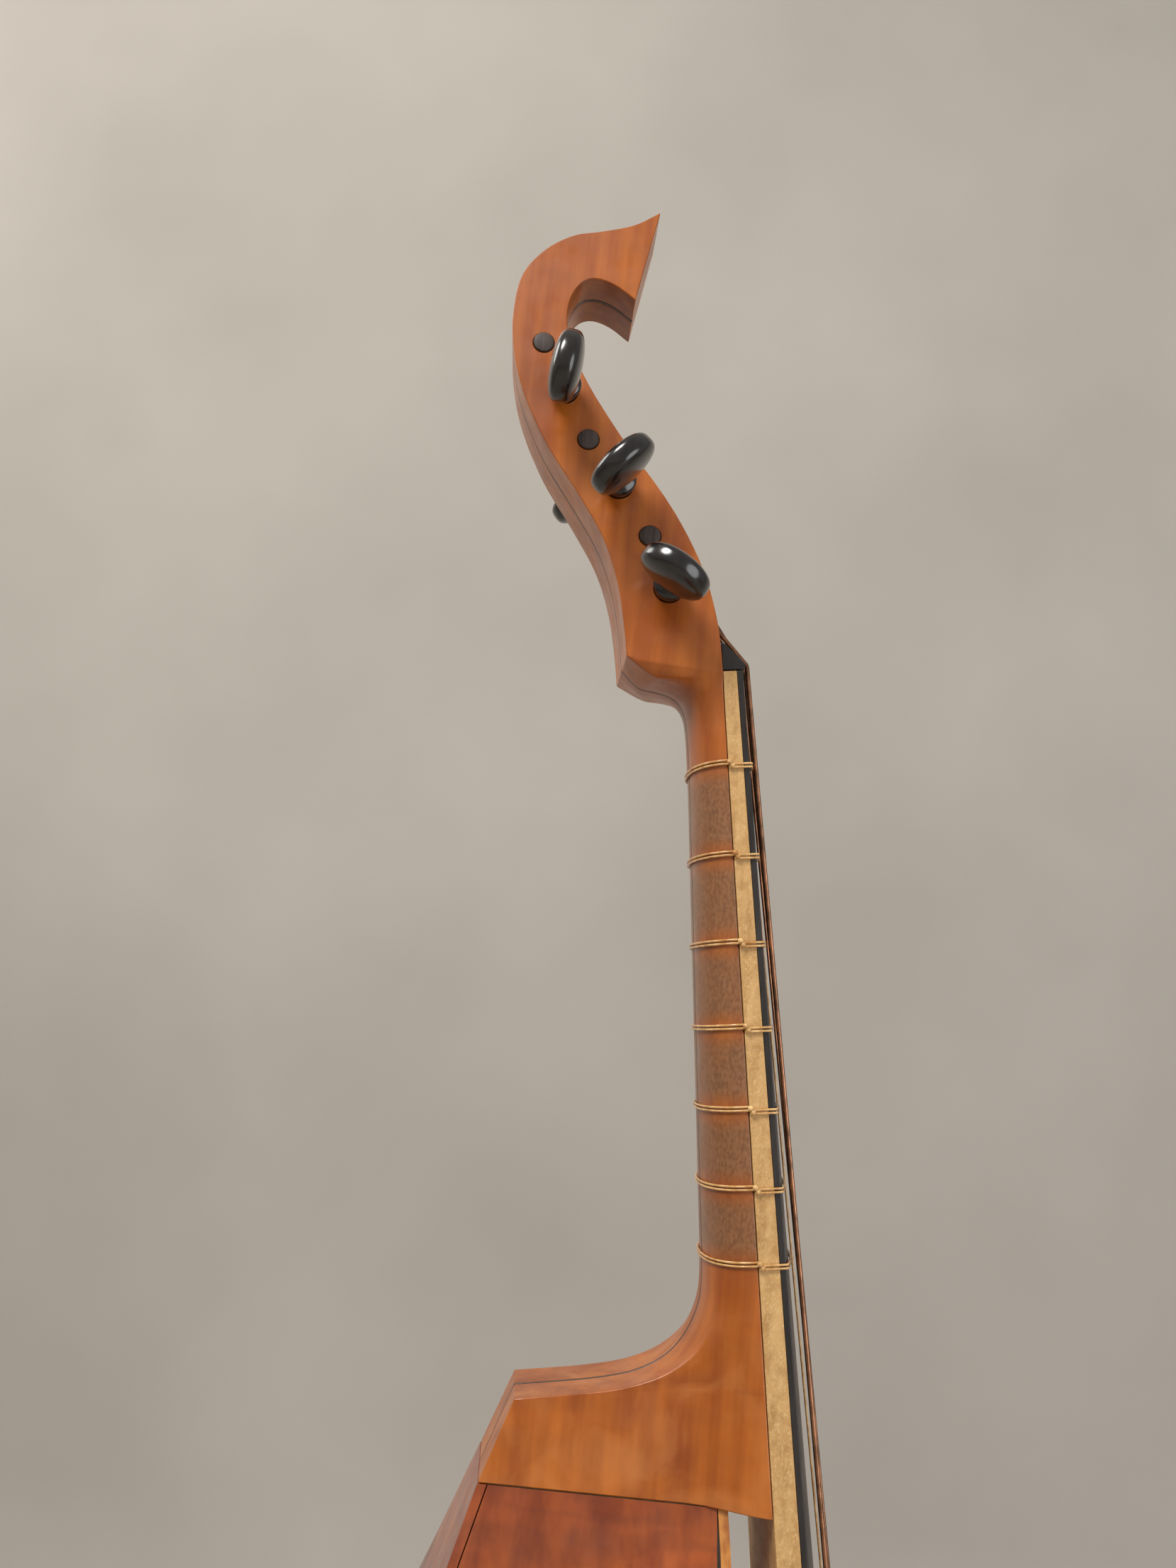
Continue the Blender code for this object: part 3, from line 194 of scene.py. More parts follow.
def smooth(points, steps):
    """Points along a Catmull-Rom curve through the given ones, ends included."""
    knots = np.array(points, float)
    ends = np.vstack([2 * knots[0] - knots[1], knots, 2 * knots[-1] - knots[-2]])
    curve = []
    for i in range(len(knots) - 1):
        a, b, c, d = ends[i:i + 4]
        ta = np.linalg.norm(b - a) ** 0.5
        tb = np.linalg.norm(c - b) ** 0.5
        tc = np.linalg.norm(d - c) ** 0.5
        slope_b = tb * ((b - a) / ta - (c - a) / (ta + tb) + (c - b) / tb)
        slope_c = tb * ((c - b) / tb - (d - b) / (tb + tc) + (d - c) / tc)
        for k in range(steps):
            t = k / steps
            curve.append((2 * t**3 - 3 * t**2 + 1) * b + (t**3 - 2 * t**2 + t) * slope_b
                         + (3 * t**2 - 2 * t**3) * c + (t**3 - t**2) * slope_c)
    curve.append(knots[-1])
    return [tuple(float(v) for v in point) for point in curve]


def neck_point(forward, up, bass):
    """A point of the neck: forward of the board's plane, up from the nut, and out to the bass."""
    return NECK_ORIGIN + TILT @ Vector((-bass, -forward, up))


def pegbox_half_width(up):
    return blend(PEGBOX_HALF_WIDTH_CHIN, PEGBOX_HALF_WIDTH_HEAD, (up - CHIN_UP) / (HEAD_UP - CHIN_UP))


def peg_radius(out, up):
    """The tapered shaft's radius at a distance from the centre plane, towards the peg's head."""
    return PEG_TIP_RADIUS + PEG_TAPER * (out + pegbox_half_width(up))


def solid(name, bm, material=None):
    """Makes a bmesh a piece at the origin, with its faces pointing out and soft shading."""
    bm.normal_update()
    bmesh.ops.recalc_face_normals(bm, faces=bm.faces)
    mesh = bpy.data.meshes.new(name)
    bm.to_mesh(mesh)
    bm.free()
    mesh.shade_smooth()
    mesh.set_sharp_from_angle(angle=math.radians(35))
    if material:
        mesh.materials.append(material)
    made = bpy.data.objects.new(name, mesh)
    bpy.context.scene.collection.objects.link(made)
    return made


def loft(bm, rings):
    """Skins rings of equal count into one closed body with flat ends."""
    rows = [[bm.verts.new(point) for point in ring] for ring in rings]
    for low, high in zip(rows, rows[1:]):
        for i in range(len(low)):
            j = (i + 1) % len(low)
            bm.faces.new((low[i], low[j], high[j], high[i]))
    bm.faces.new(rows[0][::-1])
    bm.faces.new(rows[-1])
    return bm


def settle(piece):
    """Turns a piece with live modifiers into a plain mesh."""
    bpy.context.view_layer.update()
    result = bpy.data.meshes.new_from_object(piece.evaluated_get(bpy.context.evaluated_depsgraph_get()))
    piece.modifiers.clear()
    piece.data = result


def eased(piece, width, angle=38):
    """Takes the sharpness off a piece's arrises, as a scraper and sandpaper do."""
    step = piece.modifiers.new("arris", "BEVEL")
    step.width = width
    step.segments = 2
    step.limit_method = "ANGLE"
    step.angle_limit = math.radians(angle)
    step.use_clamp_overlap = False
    flat = piece.modifiers.new("flat", "WEIGHTED_NORMAL")
    flat.weight = 100
    flat.keep_sharp = True


def stands_for(piece, node, body="root"):
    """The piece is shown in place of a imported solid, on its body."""
    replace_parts(piece, node)
    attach(piece, body)


def srgb(*levels):
    """A colour as a screen shows it, 0 to 255, made linear."""
    return tuple(((c / 255 + 0.055) / 1.055) ** 2.4 if c > 10 else c / 255 / 12.92 for c in levels)


def new_material(name):
    made = bpy.data.materials.new(name)
    made.use_nodes = True
    return made, made.node_tree, made.node_tree.nodes["Principled BSDF"]


def noise(tree, scale, detail=4.0, stretch=(1, 1, 1), distortion=0.0):
    """A noise pattern on the piece's own coordinates, in cycles a metre, stretched along its axes."""
    coords = tree.nodes.new("ShaderNodeTexCoord")
    mapping = tree.nodes.new("ShaderNodeMapping")
    mapping.inputs["Scale"].default_value = stretch
    texture = tree.nodes.new("ShaderNodeTexNoise")
    texture.inputs["Scale"].default_value = scale
    texture.inputs["Detail"].default_value = detail
    texture.inputs["Distortion"].default_value = distortion
    tree.links.new(coords.outputs["Object"], mapping.inputs["Vector"])
    tree.links.new(mapping.outputs["Vector"], texture.inputs["Vector"])
    return texture.outputs["Fac"]


def ramp(tree, source, stops):
    """Colours, or greys from single numbers, along a value from 0 to 1."""
    made = tree.nodes.new("ShaderNodeValToRGB")
    while len(made.color_ramp.elements) < len(stops):
        made.color_ramp.elements.new(0.5)
    for element, (place, colour) in zip(made.color_ramp.elements, stops):
        element.position = place
        element.color = (*colour, 1) if isinstance(colour, tuple) else (colour, colour, colour, 1)
    tree.links.new(source, made.inputs["Fac"])
    return made.outputs["Color"]


def mix(tree, share, first, second, kind="MIX"):
    made = tree.nodes.new("ShaderNodeMix")
    made.data_type = "RGBA"
    made.blend_type = kind
    sockets = (made.inputs["Factor"], made.inputs["A"], made.inputs["B"])
    for source, socket in zip((share, first, second), sockets):
        if isinstance(source, float):
            socket.default_value = source
        elif isinstance(source, tuple):
            socket.default_value = (*source, 1)
        else:
            tree.links.new(source, socket)
    return made.outputs["Result"]


def arithmetic(tree, operation, first, second):
    made = tree.nodes.new("ShaderNodeMath")
    made.operation = operation
    for source, socket in zip((first, second), made.inputs):
        if isinstance(source, float):
            socket.default_value = source
        else:
            tree.links.new(source, socket)
    return made.outputs["Value"]


def roughen(tree, bsdf, source, low, high):
    made = tree.nodes.new("ShaderNodeMapRange")
    made.inputs["From Min"].default_value = 0.3
    made.inputs["From Max"].default_value = 0.7
    made.inputs["To Min"].default_value = low
    made.inputs["To Max"].default_value = high
    tree.links.new(source, made.inputs["Value"])
    tree.links.new(made.outputs["Result"], bsdf.inputs["Roughness"])


def emboss(tree, bsdf, source, strength, distance):
    made = tree.nodes.new("ShaderNodeBump")
    made.inputs["Strength"].default_value = strength
    made.inputs["Distance"].default_value = distance
    tree.links.new(source, made.inputs["Height"])
    tree.links.new(made.outputs["Normal"], bsdf.inputs["Normal"])


def along_neck(tree, low, high):
    """The height along the neck above the nut, as 0 at low and 1 at high, in metres."""
    coords = tree.nodes.new("ShaderNodeTexCoord")
    dot = tree.nodes.new("ShaderNodeVectorMath")
    dot.operation = "DOT_PRODUCT"
    axis = TILT @ Vector((0, 0, 1))
    dot.inputs[1].default_value = axis
    tree.links.new(coords.outputs["Object"], dot.inputs[0])
    made = tree.nodes.new("ShaderNodeMapRange")
    made.inputs["From Min"].default_value = low + NECK_ORIGIN.dot(axis)
    made.inputs["From Max"].default_value = high + NECK_ORIGIN.dot(axis)
    tree.links.new(dot.outputs["Value"], made.inputs["Value"])
    return made.outputs["Result"]


def fret_along(number):
    return STRING_LENGTH * (1 - 2 ** (-number / 12))


WEAR_LOW = -0.262
WEAR_FADE = 7.5 * MM
WEAR_AT_FRET = 0.12


def hand_wear(tree):
    """White where hands have worn the varnish between the frets, black elsewhere."""
    first, last = -fret_along(1), -fret_along(FRETS)
    stops = [(last - WEAR_FADE, 0.0), (last, WEAR_AT_FRET)]
    for number in range(FRETS, 1, -1):
        low, high = -fret_along(number), -fret_along(number - 1)
        stops += [(low + WEAR_FADE, 1.0), (high - WEAR_FADE, 1.0), (high, WEAR_AT_FRET)]
    stops.append((first + WEAR_FADE, 0.0))
    return ramp(tree, along_neck(tree, WEAR_LOW, 0.0), [(1 - u / WEAR_LOW, level) for u, level in stops])


def varnished_neck():
    made, tree, bsdf = new_material("neck_varnish")
    grain = noise(tree, 150.0, 5.0, (1, 1, 0.06))
    body = ramp(tree, grain, [(0.36, srgb(160, 80, 14)), (0.66, srgb(186, 102, 26))])
    flame = ramp(tree, noise(tree, 26.0, 2.0, (0.4, 0.4, 3.0), 0.5), [(0.35, 0.9), (0.62, 1.0)])
    body = mix(tree, 1.0, body, flame, "MULTIPLY")
    blotch = ramp(tree, noise(tree, 30.0, 5.0), [(0.34, srgb(214, 196, 186)), (0.6, (1.0, 1.0, 1.0))])
    body = mix(tree, 0.6, body, blotch, "MULTIPLY")
    heel = ramp(tree, along_neck(tree, -0.320, -0.235), [(0.0, 1.0), (0.62, 0.9), (0.95, 0.0)])
    thin = ramp(tree, noise(tree, 42.0, 6.0, (1, 1, 1), 0.8), [(0.44, 0.0), (0.7, 0.55)])
    body = mix(tree, arithmetic(tree, "MULTIPLY", heel, thin), body, srgb(200, 124, 62))
    dirt = noise(tree, 900.0, 6.0, (1, 1, 0.6))
    dirt = ramp(tree, dirt, [(0.36, srgb(116, 76, 46)), (0.62, srgb(140, 96, 62))])
    patchy = ramp(tree, noise(tree, 60.0, 5.0), [(0.3, 0.8), (0.6, 1.0)])
    worn = arithmetic(tree, "MULTIPLY", hand_wear(tree), patchy)
    tree.links.new(mix(tree, worn, body, dirt), bsdf.inputs["Base Color"])
    roughen(tree, bsdf, noise(tree, 90.0, 6.0), 0.3, 0.46)
    emboss(tree, bsdf, noise(tree, 1100.0, 4.0, (1, 1, 0.14)), 0.16, 0.1 * MM)
    bsdf.inputs["Coat Weight"].default_value = 0.3
    bsdf.inputs["Coat Roughness"].default_value = 0.18
    return made


def varnished_wood(name, dark, light, grain, flame, rough, coat, pores=0.15, flame_depth=0.72):
    """Wood with its grain along the body, cross flames, and blotches in the varnish."""
    made, tree, bsdf = new_material(name)
    body = ramp(tree, noise(tree, grain, 5.0, (1, 1, 0.05)), [(0.36, dark), (0.64, light)])
    waves = ramp(tree, noise(tree, flame, 2.0, (0.5, 0.5, 3.2), 0.6), [(0.36, flame_depth), (0.62, 1.0)])
    body = mix(tree, 0.85, body, waves, "MULTIPLY")
    blotch = ramp(tree, noise(tree, 24.0, 5.0), [(0.34, srgb(206, 186, 176)), (0.62, (1.0, 1.0, 1.0))])
    tree.links.new(mix(tree, 0.7, body, blotch, "MULTIPLY"), bsdf.inputs["Base Color"])
    roughen(tree, bsdf, noise(tree, 70.0, 6.0), rough * 0.8, rough * 1.25)
    emboss(tree, bsdf, noise(tree, 900.0, 3.0, (1, 1, 0.12)), pores, 0.1 * MM)
    bsdf.inputs["Coat Weight"].default_value = coat
    bsdf.inputs["Coat Roughness"].default_value = 0.16
    return made


SECTION_STEPS = 14


def neck_section(station, inner, count=SECTION_STEPS):
    """Half of a neck section, from its front edge round to the middle of its back."""
    depth, up_back, up_front, width, side_width = [v * MM for v in station[:5]]
    square = min(1.0, max(0.0, station[5]))
    points = []
    for k in range(2 * count + 1):
        angle = math.pi / 2 * k / (2 * count)
        power = 2 / NECK_ROUNDNESS
        sin, cos = math.sin(angle), max(0.0, math.cos(angle))
        round_in = GAP + (depth - GAP) * sin**power
        round_out = inner + (width - inner) * cos**power
        reach = min(1.0, math.tan(angle)) if k < 2 * count else 1.0
        box_in = GAP + (depth - GAP) * reach
        side = blend(width, side_width, ease(box_in / COVE))
        box_out = side if k <= count else inner + (side - inner) * math.tan(math.pi / 2 - angle)
        inward = blend(round_in, box_in, square)
        bass = blend(round_out, box_out, square)
        points.append((-inward, blend(up_front, up_back, inward / depth), bass))
    return points


SECTIONS = smooth(CHIN_STATIONS, 4) + smooth(HEEL_STATIONS, 4) + [HEEL_FOOT]


def head_outline(steps=5):
    """The head's outline from the front of the cheek's lower border round to the chin."""
    front = [(-GAP / MM, CHIN_STATIONS[0][2])] + smooth(HEAD_FRONT, steps)
    return [(forward * MM, up * MM) for forward, up in front + smooth(HEAD_BACK, steps)]


def neck_half(name, side, material):
    """One half of neck and head: side 1 is the bass half, -1 the treble half."""
    inner = STRIP / 2 + GAP / 3
    bm = bmesh.new()

    def vertex(forward, up, bass):
        return bm.verts.new(neck_point(forward, up, side * bass))

    outline = head_outline()
    rings = [[vertex(*point) for point in neck_section(station, inner)] for station in SECTIONS]
    first = rings[0]
    corner = (len(first) - 1) // 2
    outer = [first[0]] + [vertex(f, u, pegbox_half_width(u)) for f, u in outline[1:-1]] + [first[corner]]
    start = vertex(outline[0][0], outline[0][1], inner)
    middle = [start] + [vertex(f, u, inner) for f, u in outline[1:-1]] + [first[-1]]
    last_forward, last_up, _ = neck_section(SECTIONS[-1], inner)[0]
    end = vertex(last_forward, last_up, inner)
    bm.faces.new(outer + first[corner - 1:0:-1])
    for i in range(len(outline) - 2):
        bm.faces.new((outer[i], outer[i + 1], middle[i + 1], middle[i]))
    bm.faces.new([middle[-2], outer[-2]] + first[corner:])
    for ring, below in zip(rings, rings[1:]):
        for k in range(len(ring) - 1):
            bm.faces.new((ring[k], ring[k + 1], below[k + 1], below[k]))
    bm.faces.new([ring[0] for ring in rings] + [end, start])
    bm.faces.new(rings[-1] + [end])
    bm.faces.new(middle + [ring[-1] for ring in rings[1:]] + [end])
    return solid(name, bm, material)


def relax_cove(piece, count=SECTION_STEPS):
    """Evens out the flat side of the heel inside its arris, where the sections lie close together."""
    group = piece.vertex_groups.new(name="heel_side")
    for i, station in enumerate(SECTIONS[:-1]):
        if station[2] < RELAX_BELOW:
            first = i * (2 * count + 1)
            group.add([first + k for k in range(1, count - 1)], 1.0, "REPLACE")
    step = piece.modifiers.new("relax", "SMOOTH")
    step.factor = 0.5
    step.iterations = 12
    step.vertex_group = group.name


def centre_strip(material):
    """The strip follows the centre line of both halves, from hook to heel."""
    centre = list(head_outline())
    for station in SECTIONS[1:]:
        centre.append((-station[0] * MM, station[1] * MM))
    centre.append((-GAP, SECTIONS[-1][2] * MM))
    rings = [[neck_point(f, u, side * STRIP / 2) for f, u in centre] for side in (-1, 1)]
    return solid("neck_strip", loft(bmesh.new(), rings), material)


def mortise_cutter():
    """The hollow of the pegbox, which leaves cheeks of even thickness."""
    outline = [(f * MM, u * MM) for f, u in smooth(MORTISE_FLOOR, 4) + MORTISE_MOUTH]
    rings = []
    for side in (-1, 1):
        rings.append([neck_point(f, u, side * (pegbox_half_width(u) - CHEEK)) for f, u in outline])
    return solid("pegbox_mortise", loft(bmesh.new(), rings))


def turned(name, profile, side, forward, up, sides=48):
    """A bmesh turned on a peg's axis, from (radius, distance towards the head) points."""
    bm = bmesh.new()
    rings = []
    for radius, out in profile:
        ring = []
        for k in range(sides):
            angle = math.tau * k / sides
            across, along = radius * math.cos(angle), radius * math.sin(angle)
            ring.append(neck_point(forward + across, up + along, side * out))
        rings.append(ring)
    return loft(bm, rings)


def cut(piece, cutters):
    """Takes each cutter's shape out of a piece."""
    for cutter in cutters:
        step = piece.modifiers.new("cut", "BOOLEAN")
        step.operation = "DIFFERENCE"
        step.solver = "EXACT"
        step.object = cutter


neck_varnish = varnished_neck()
black_wood = varnished_wood("black_wood", srgb(22, 19, 18), srgb(38, 33, 30), 240.0, 9.0, 0.3, 0.4, 0.2)
cutters = [mortise_cutter()]
for _, side, forward, up, _, _ in PEGS:
    forward, up = forward * MM, up * MM
    ends = pegbox_half_width(up) + 6 * MM
    hole = [(peg_radius(out, up) + PEG_CLEARANCE / 3, out) for out in (-ends, ends)]
    cutters.append(solid("peg_hole", turned("peg_hole", hole, side, forward, up)))
neck_pieces = [
    (neck_half("neck_bass", 1, neck_varnish), "neck_bass_half", "varnished_maple"),
    (neck_half("neck_treble", -1, neck_varnish), "neck_treble_half", "varnished_maple"),
    (centre_strip(black_wood), "neck_centre_strip", "ebony"),
]
for piece, node, slot in neck_pieces:
    if slot == "varnished_maple":
        relax_cove(piece)
    cut(piece, cutters)
    eased(piece, ARRIS if slot == "varnished_maple" else 0.1 * MM)
    settle(piece)
    stands_for(piece, node)
for cutter in cutters:
    bpy.data.objects.remove(cutter)


# The pegs are turned from black wood, each with a tapered shaft through both cheeks, a collar,
# and a flattened oval head. Their ends are dull brown end grain.
PEG_HEAD_ACROSS = 30 * MM
PEG_HEAD_ALONG = 27 * MM
PEG_HEAD_THICK = 13 * MM
PEG_HEAD_OUT = 21 * MM
PEG_HEAD_FLATNESS = 0.6


def peg(number, side, forward, up, turn):
    """A turned peg: tip, tapered shaft, collar, waist, and its head at its own angle."""
    forward, up = forward * MM, up * MM
    half = pegbox_half_width(up)
    collar = half + 4.5 * MM
    head_middle = half + PEG_HEAD_OUT
    waist = smooth([(4.4, 3.6), (3.5, 5.5), (3.2, 8.0), (3.6, 11.0)], 4)
    bead = smooth([(6.4, 0), (6.95, 0.7), (6.95, 1.6), (6.5, 2.6), (5.4, 3.2)], 3)
    profile = [(0.01 * MM, -half - 1.25 * MM), (PEG_TIP_RADIUS - 1.4 * MM, -half - 1.2 * MM),
               (PEG_TIP_RADIUS - 0.4 * MM, -half - 0.9 * MM), (PEG_TIP_RADIUS - 0.05 * MM, -half - 0.4 * MM),
               (peg_radius(-half, up), -half), (peg_radius(collar, up), collar)]
    profile += [(radius * MM, collar + out * MM) for radius, out in bead + waist]
    profile.append((0.01 * MM, head_middle))
    bm = turned(f"peg_{number}", profile, side, forward, up)
    shaft_faces = list(bm.faces)
    tip = neck_point(forward, up, side * (-half - 0.3 * MM))
    outwards = (tip - neck_point(forward, up, 0)).normalized()
    for face in shaft_faces:
        face.material_index = 1 if (face.calc_center_median() - tip).dot(outwards) > 0 else 0
    before = set(bm.verts)
    bmesh.ops.create_uvsphere(bm, u_segments=56, v_segments=28, radius=1)
    angle = side * math.radians(turn - 90)
    cos, sin = math.cos(angle), math.sin(angle)
    for vert in bm.verts:
        if vert in before:
            continue
        across, along, thick = vert.co
        across *= PEG_HEAD_ACROSS / 2
        thick = math.copysign(abs(thick) ** PEG_HEAD_FLATNESS, thick) * PEG_HEAD_THICK / 2
        x, y = across * cos - thick * sin, across * sin + thick * cos
        vert.co = neck_point(forward - y, up + side * x, side * (along * PEG_HEAD_ALONG / 2 + head_middle))
    made = solid(f"turned_peg_{number}", bm, peg_black)
    made.data.materials.append(peg_end)
    stands_for(made, f"peg_{number}", f"peg_{number}")


peg_black = varnished_wood("peg_black", srgb(17, 14, 14), srgb(30, 25, 24), 300.0, 12.0, 0.22, 0.6, 0.1)
peg_end = varnished_wood("peg_end_grain", srgb(58, 48, 44), srgb(84, 72, 66), 900.0, 40.0, 0.55, 0.0, 0.4)
for row in PEGS:
    peg(*row[:5])


# The fingerboard is a pale maple wedge with a dark playing surface glued on. The core's edge shows
# the flecks of quartered maple. The nut is a block of the same black wood.
BOARD_LENGTH = 478 * MM
BOARD_HALF_WIDTH = 24.5 * MM
BOARD_SPREAD = 0.0165
CORE_EDGE = 5.6 * MM
CORE_WEDGE = 0.010
CROWN_NUT = 1.6 * MM
CROWN_RISE = 0.0145
VENEER = 2.2 * MM
NUT_RISE = 0.95 * MM
NUT_LENGTH = 11.5 * MM
NUT_SHARE = 0.995
BOARD_STEPS = 24


def board_half_width(along):
    return BOARD_HALF_WIDTH + BOARD_SPREAD * along


def core_top(along, bass):
    """Forward of the core's upper face; along is the distance from the nut."""
    crown = CROWN_NUT + CROWN_RISE * along
    return CORE_EDGE + CORE_WEDGE * along + crown * (1 - (bass / board_half_width(along)) ** 2)


def board_top(along, bass):
    return core_top(along, bass) + GAP + VENEER


def across_board(along, height):
    """Points over the board at one distance from the nut, treble to bass."""
    half = board_half_width(along)
    places = [half * (2 * i / BOARD_STEPS - 1) for i in range(BOARD_STEPS + 1)]
    return [neck_point(height(along, bass), -along, bass) for bass in places]


def pale_core():
    made, tree, bsdf = new_material("pale_core")
    grain = noise(tree, 260.0, 5.0, (1, 1, 0.1))
    body = ramp(tree, grain, [(0.35, srgb(190, 146, 88)), (0.65, srgb(206, 164, 106))])
    flecks = ramp(tree, noise(tree, 1100.0, 2.0, (1, 1, 0.5), 1.6), [(0.52, 0.0), (0.62, 0.6)])
    body = mix(tree, flecks, body, srgb(222, 186, 130))
    soot = ramp(tree, noise(tree, 200.0, 5.0), [(0.3, srgb(222, 212, 198)), (0.55, (1.0, 1.0, 1.0))])
    tree.links.new(mix(tree, 0.8, body, soot, "MULTIPLY"), bsdf.inputs["Base Color"])
    roughen(tree, bsdf, noise(tree, 300.0, 4.0), 0.42, 0.6)
    emboss(tree, bsdf, noise(tree, 700.0, 4.0, (1, 1, 0.4)), 0.25, 0.1 * MM)
    return made


board_core = []
board_face = []
for i in range(BOARD_STEPS + 1):
    along = blend(GAP, BOARD_LENGTH, i / BOARD_STEPS)
    half = board_half_width(along)
    under = [neck_point(0, -along, half), neck_point(0, -along, -half)]
    board_core.append(across_board(along, core_top) + under)
    lower = across_board(along, lambda a, b: core_top(a, b) + GAP / 3)
    board_face.append(across_board(along, board_top) + lower[::-1])
core = solid("board_core", loft(bmesh.new(), board_core), pale_core())
face_wood = varnished_wood("board_face_wood", srgb(30, 26, 24), srgb(50, 44, 40), 240.0, 9.0, 0.36, 0.2, 0.3)
face = solid("board_face", loft(bmesh.new(), board_face), face_wood)
nut_rings = []
for i in range(BOARD_STEPS + 1):
    bass = board_half_width(0) * (2 * i / BOARD_STEPS - 1) * NUT_SHARE
    top = board_top(0, bass) + NUT_RISE
    profile = [(0, GAP), (top - 0.6 * MM, GAP), (top - 0.1 * MM, 0.6 * MM), (top, 1.1 * MM), (top, 2.0 * MM),
               (top - 0.2 * MM, 2.8 * MM), (top - 0.7 * MM, 3.7 * MM), (top - 1.4 * MM, 4.4 * MM),
               (1.2 * MM, NUT_LENGTH), (0, NUT_LENGTH)]
    nut_rings.append([neck_point(forward, up, bass) for forward, up in profile])
nut = solid("black_nut", loft(bmesh.new(), nut_rings), black_wood)
for piece, node, slot in ((core, "fingerboard_core", "core_maple"), (face, "fingerboard_veneer", "ebony"),
                          (nut, "nut", "ebony")):
    eased(piece, 0.25 * MM)
    settle(piece)
    stands_for(piece, node)


# Each fret is a length of gut tied twice round neck and board, with a small knot where neck and
# board meet on the bass side. It slides a little to tune it.
FRET_GUT_FIRST = 0.95 * MM
FRET_GUT_LAST = 0.85 * MM
LEAST_TURN_GAP = 0.45 * MM
FRET_SLACK = 0.1 * MM
KNOT = 1.15 * MM
BACK_STEPS = 48
FRONT_STEPS = 16


def gut_strand():
    made, tree, bsdf = new_material("gut_strand")
    tone = ramp(tree, noise(tree, 240.0, 4.0), [(0.3, srgb(176, 122, 58)), (0.7, srgb(226, 188, 126))])
    tree.links.new(tone, bsdf.inputs["Base Color"])
    roughen(tree, bsdf, noise(tree, 500.0, 3.0), 0.2, 0.4)
    emboss(tree, bsdf, noise(tree, 1800.0, 2.0), 0.2, 0.05 * MM)
    bsdf.inputs["Subsurface Weight"].default_value = 0.3
    bsdf.inputs["Subsurface Scale"].default_value = 1.0 * MM
    bsdf.inputs["Coat Weight"].default_value = 0.5
    return made


STRAND_ROUNDNESS = 4


def strand(name, points, radius, material, ends=()):
    """A round strand along points in the row frame, with beads where it is knotted."""
    curve = bpy.data.curves.new(name, "CURVE")
    curve.dimensions = "3D"
    curve.bevel_depth = radius
    curve.bevel_resolution = STRAND_ROUNDNESS
    curve.use_fill_caps = True
    spline = curve.splines.new("POLY")
    spline.points.add(len(points) - 1)
    for knot, point in zip(spline.points, points):
        knot.co = (*point, 1)
    source = bpy.data.objects.new(name, curve)
    bpy.context.scene.collection.objects.link(source)
    bpy.context.view_layer.update()
    mesh = bpy.data.meshes.new_from_object(source.evaluated_get(bpy.context.evaluated_depsgraph_get()))
    bpy.data.objects.remove(source)
    bm = bmesh.new()
    bm.from_mesh(mesh)
    bmesh.ops.remove_doubles(bm, verts=bm.verts, dist=0.005 * MM)
    for place, size in ends:
        bmesh.ops.create_icosphere(bm, subdivisions=3, radius=size, matrix=Matrix.Translation(place))
    return solid(name, bm, material)


def neck_depth(along):
    """How deep the rounded neck is behind its top plane, between the first and last fret."""
    top, bottom = CHIN_STATIONS[-1], HEEL_STATIONS[0]
    t = (along + top[1] * MM) / ((top[1] - bottom[1]) * MM)
    return blend(top[0], bottom[0], t) * MM


def fret_ring(along, clear):
    """A loop round neck and board, this far clear of them, from the bass edge's corner."""
    half = board_half_width(along)
    depth = neck_depth(along)
    points = []
    for k in range(BACK_STEPS + 1):
        angle = math.pi * k / BACK_STEPS
        power = 2 / NECK_ROUNDNESS
        cos, sin = math.cos(angle), math.sin(angle)
        bass = math.copysign(abs(cos) ** power, cos) * (half + clear)
        points.append((-(depth + clear) * abs(sin) ** power, bass))
    edge = board_top(along, half)
    diagonal = clear * math.sqrt(0.5)
    points += [(edge, -half - clear), (edge + diagonal, -half - diagonal), (edge + clear, -half)]
    for k in range(1, FRONT_STEPS):
        bass = half * (2 * k / FRONT_STEPS - 1)
        points.append((board_top(along, bass) + clear, bass))
    points += [(edge + clear, half), (edge + diagonal, half + diagonal), (edge, half + clear)]
    return points


gut = gut_strand()
for number in range(1, FRETS + 1):
    along = fret_along(number)
    thick = blend(FRET_GUT_FIRST, FRET_GUT_LAST, (number - 1) / (FRETS - 1))
    ring = fret_ring(along, thick / 2 + GAP + FRET_SLACK)
    pitch = thick + LEAST_TURN_GAP
    path = []
    for turn in range(2):
        for k, (forward, bass) in enumerate(ring):
            path.append(neck_point(forward, -along - pitch * (turn - 1 + k / len(ring)), bass))
    forward, bass = ring[0]
    path.append(neck_point(forward, -along - pitch, bass))
    knots = [(neck_point(0.4 * MM, -along + 0.55 * pitch, bass + 0.5 * MM), KNOT),
             (neck_point(1.3 * MM, -along - 0.55 * pitch, bass + 0.4 * MM), KNOT * 0.92)]
    tied = strand(f"gut_fret_{number}", path, thick / 2, gut, knots)
    stands_for(tied, f"fret_{number}", f"fret_{number}")


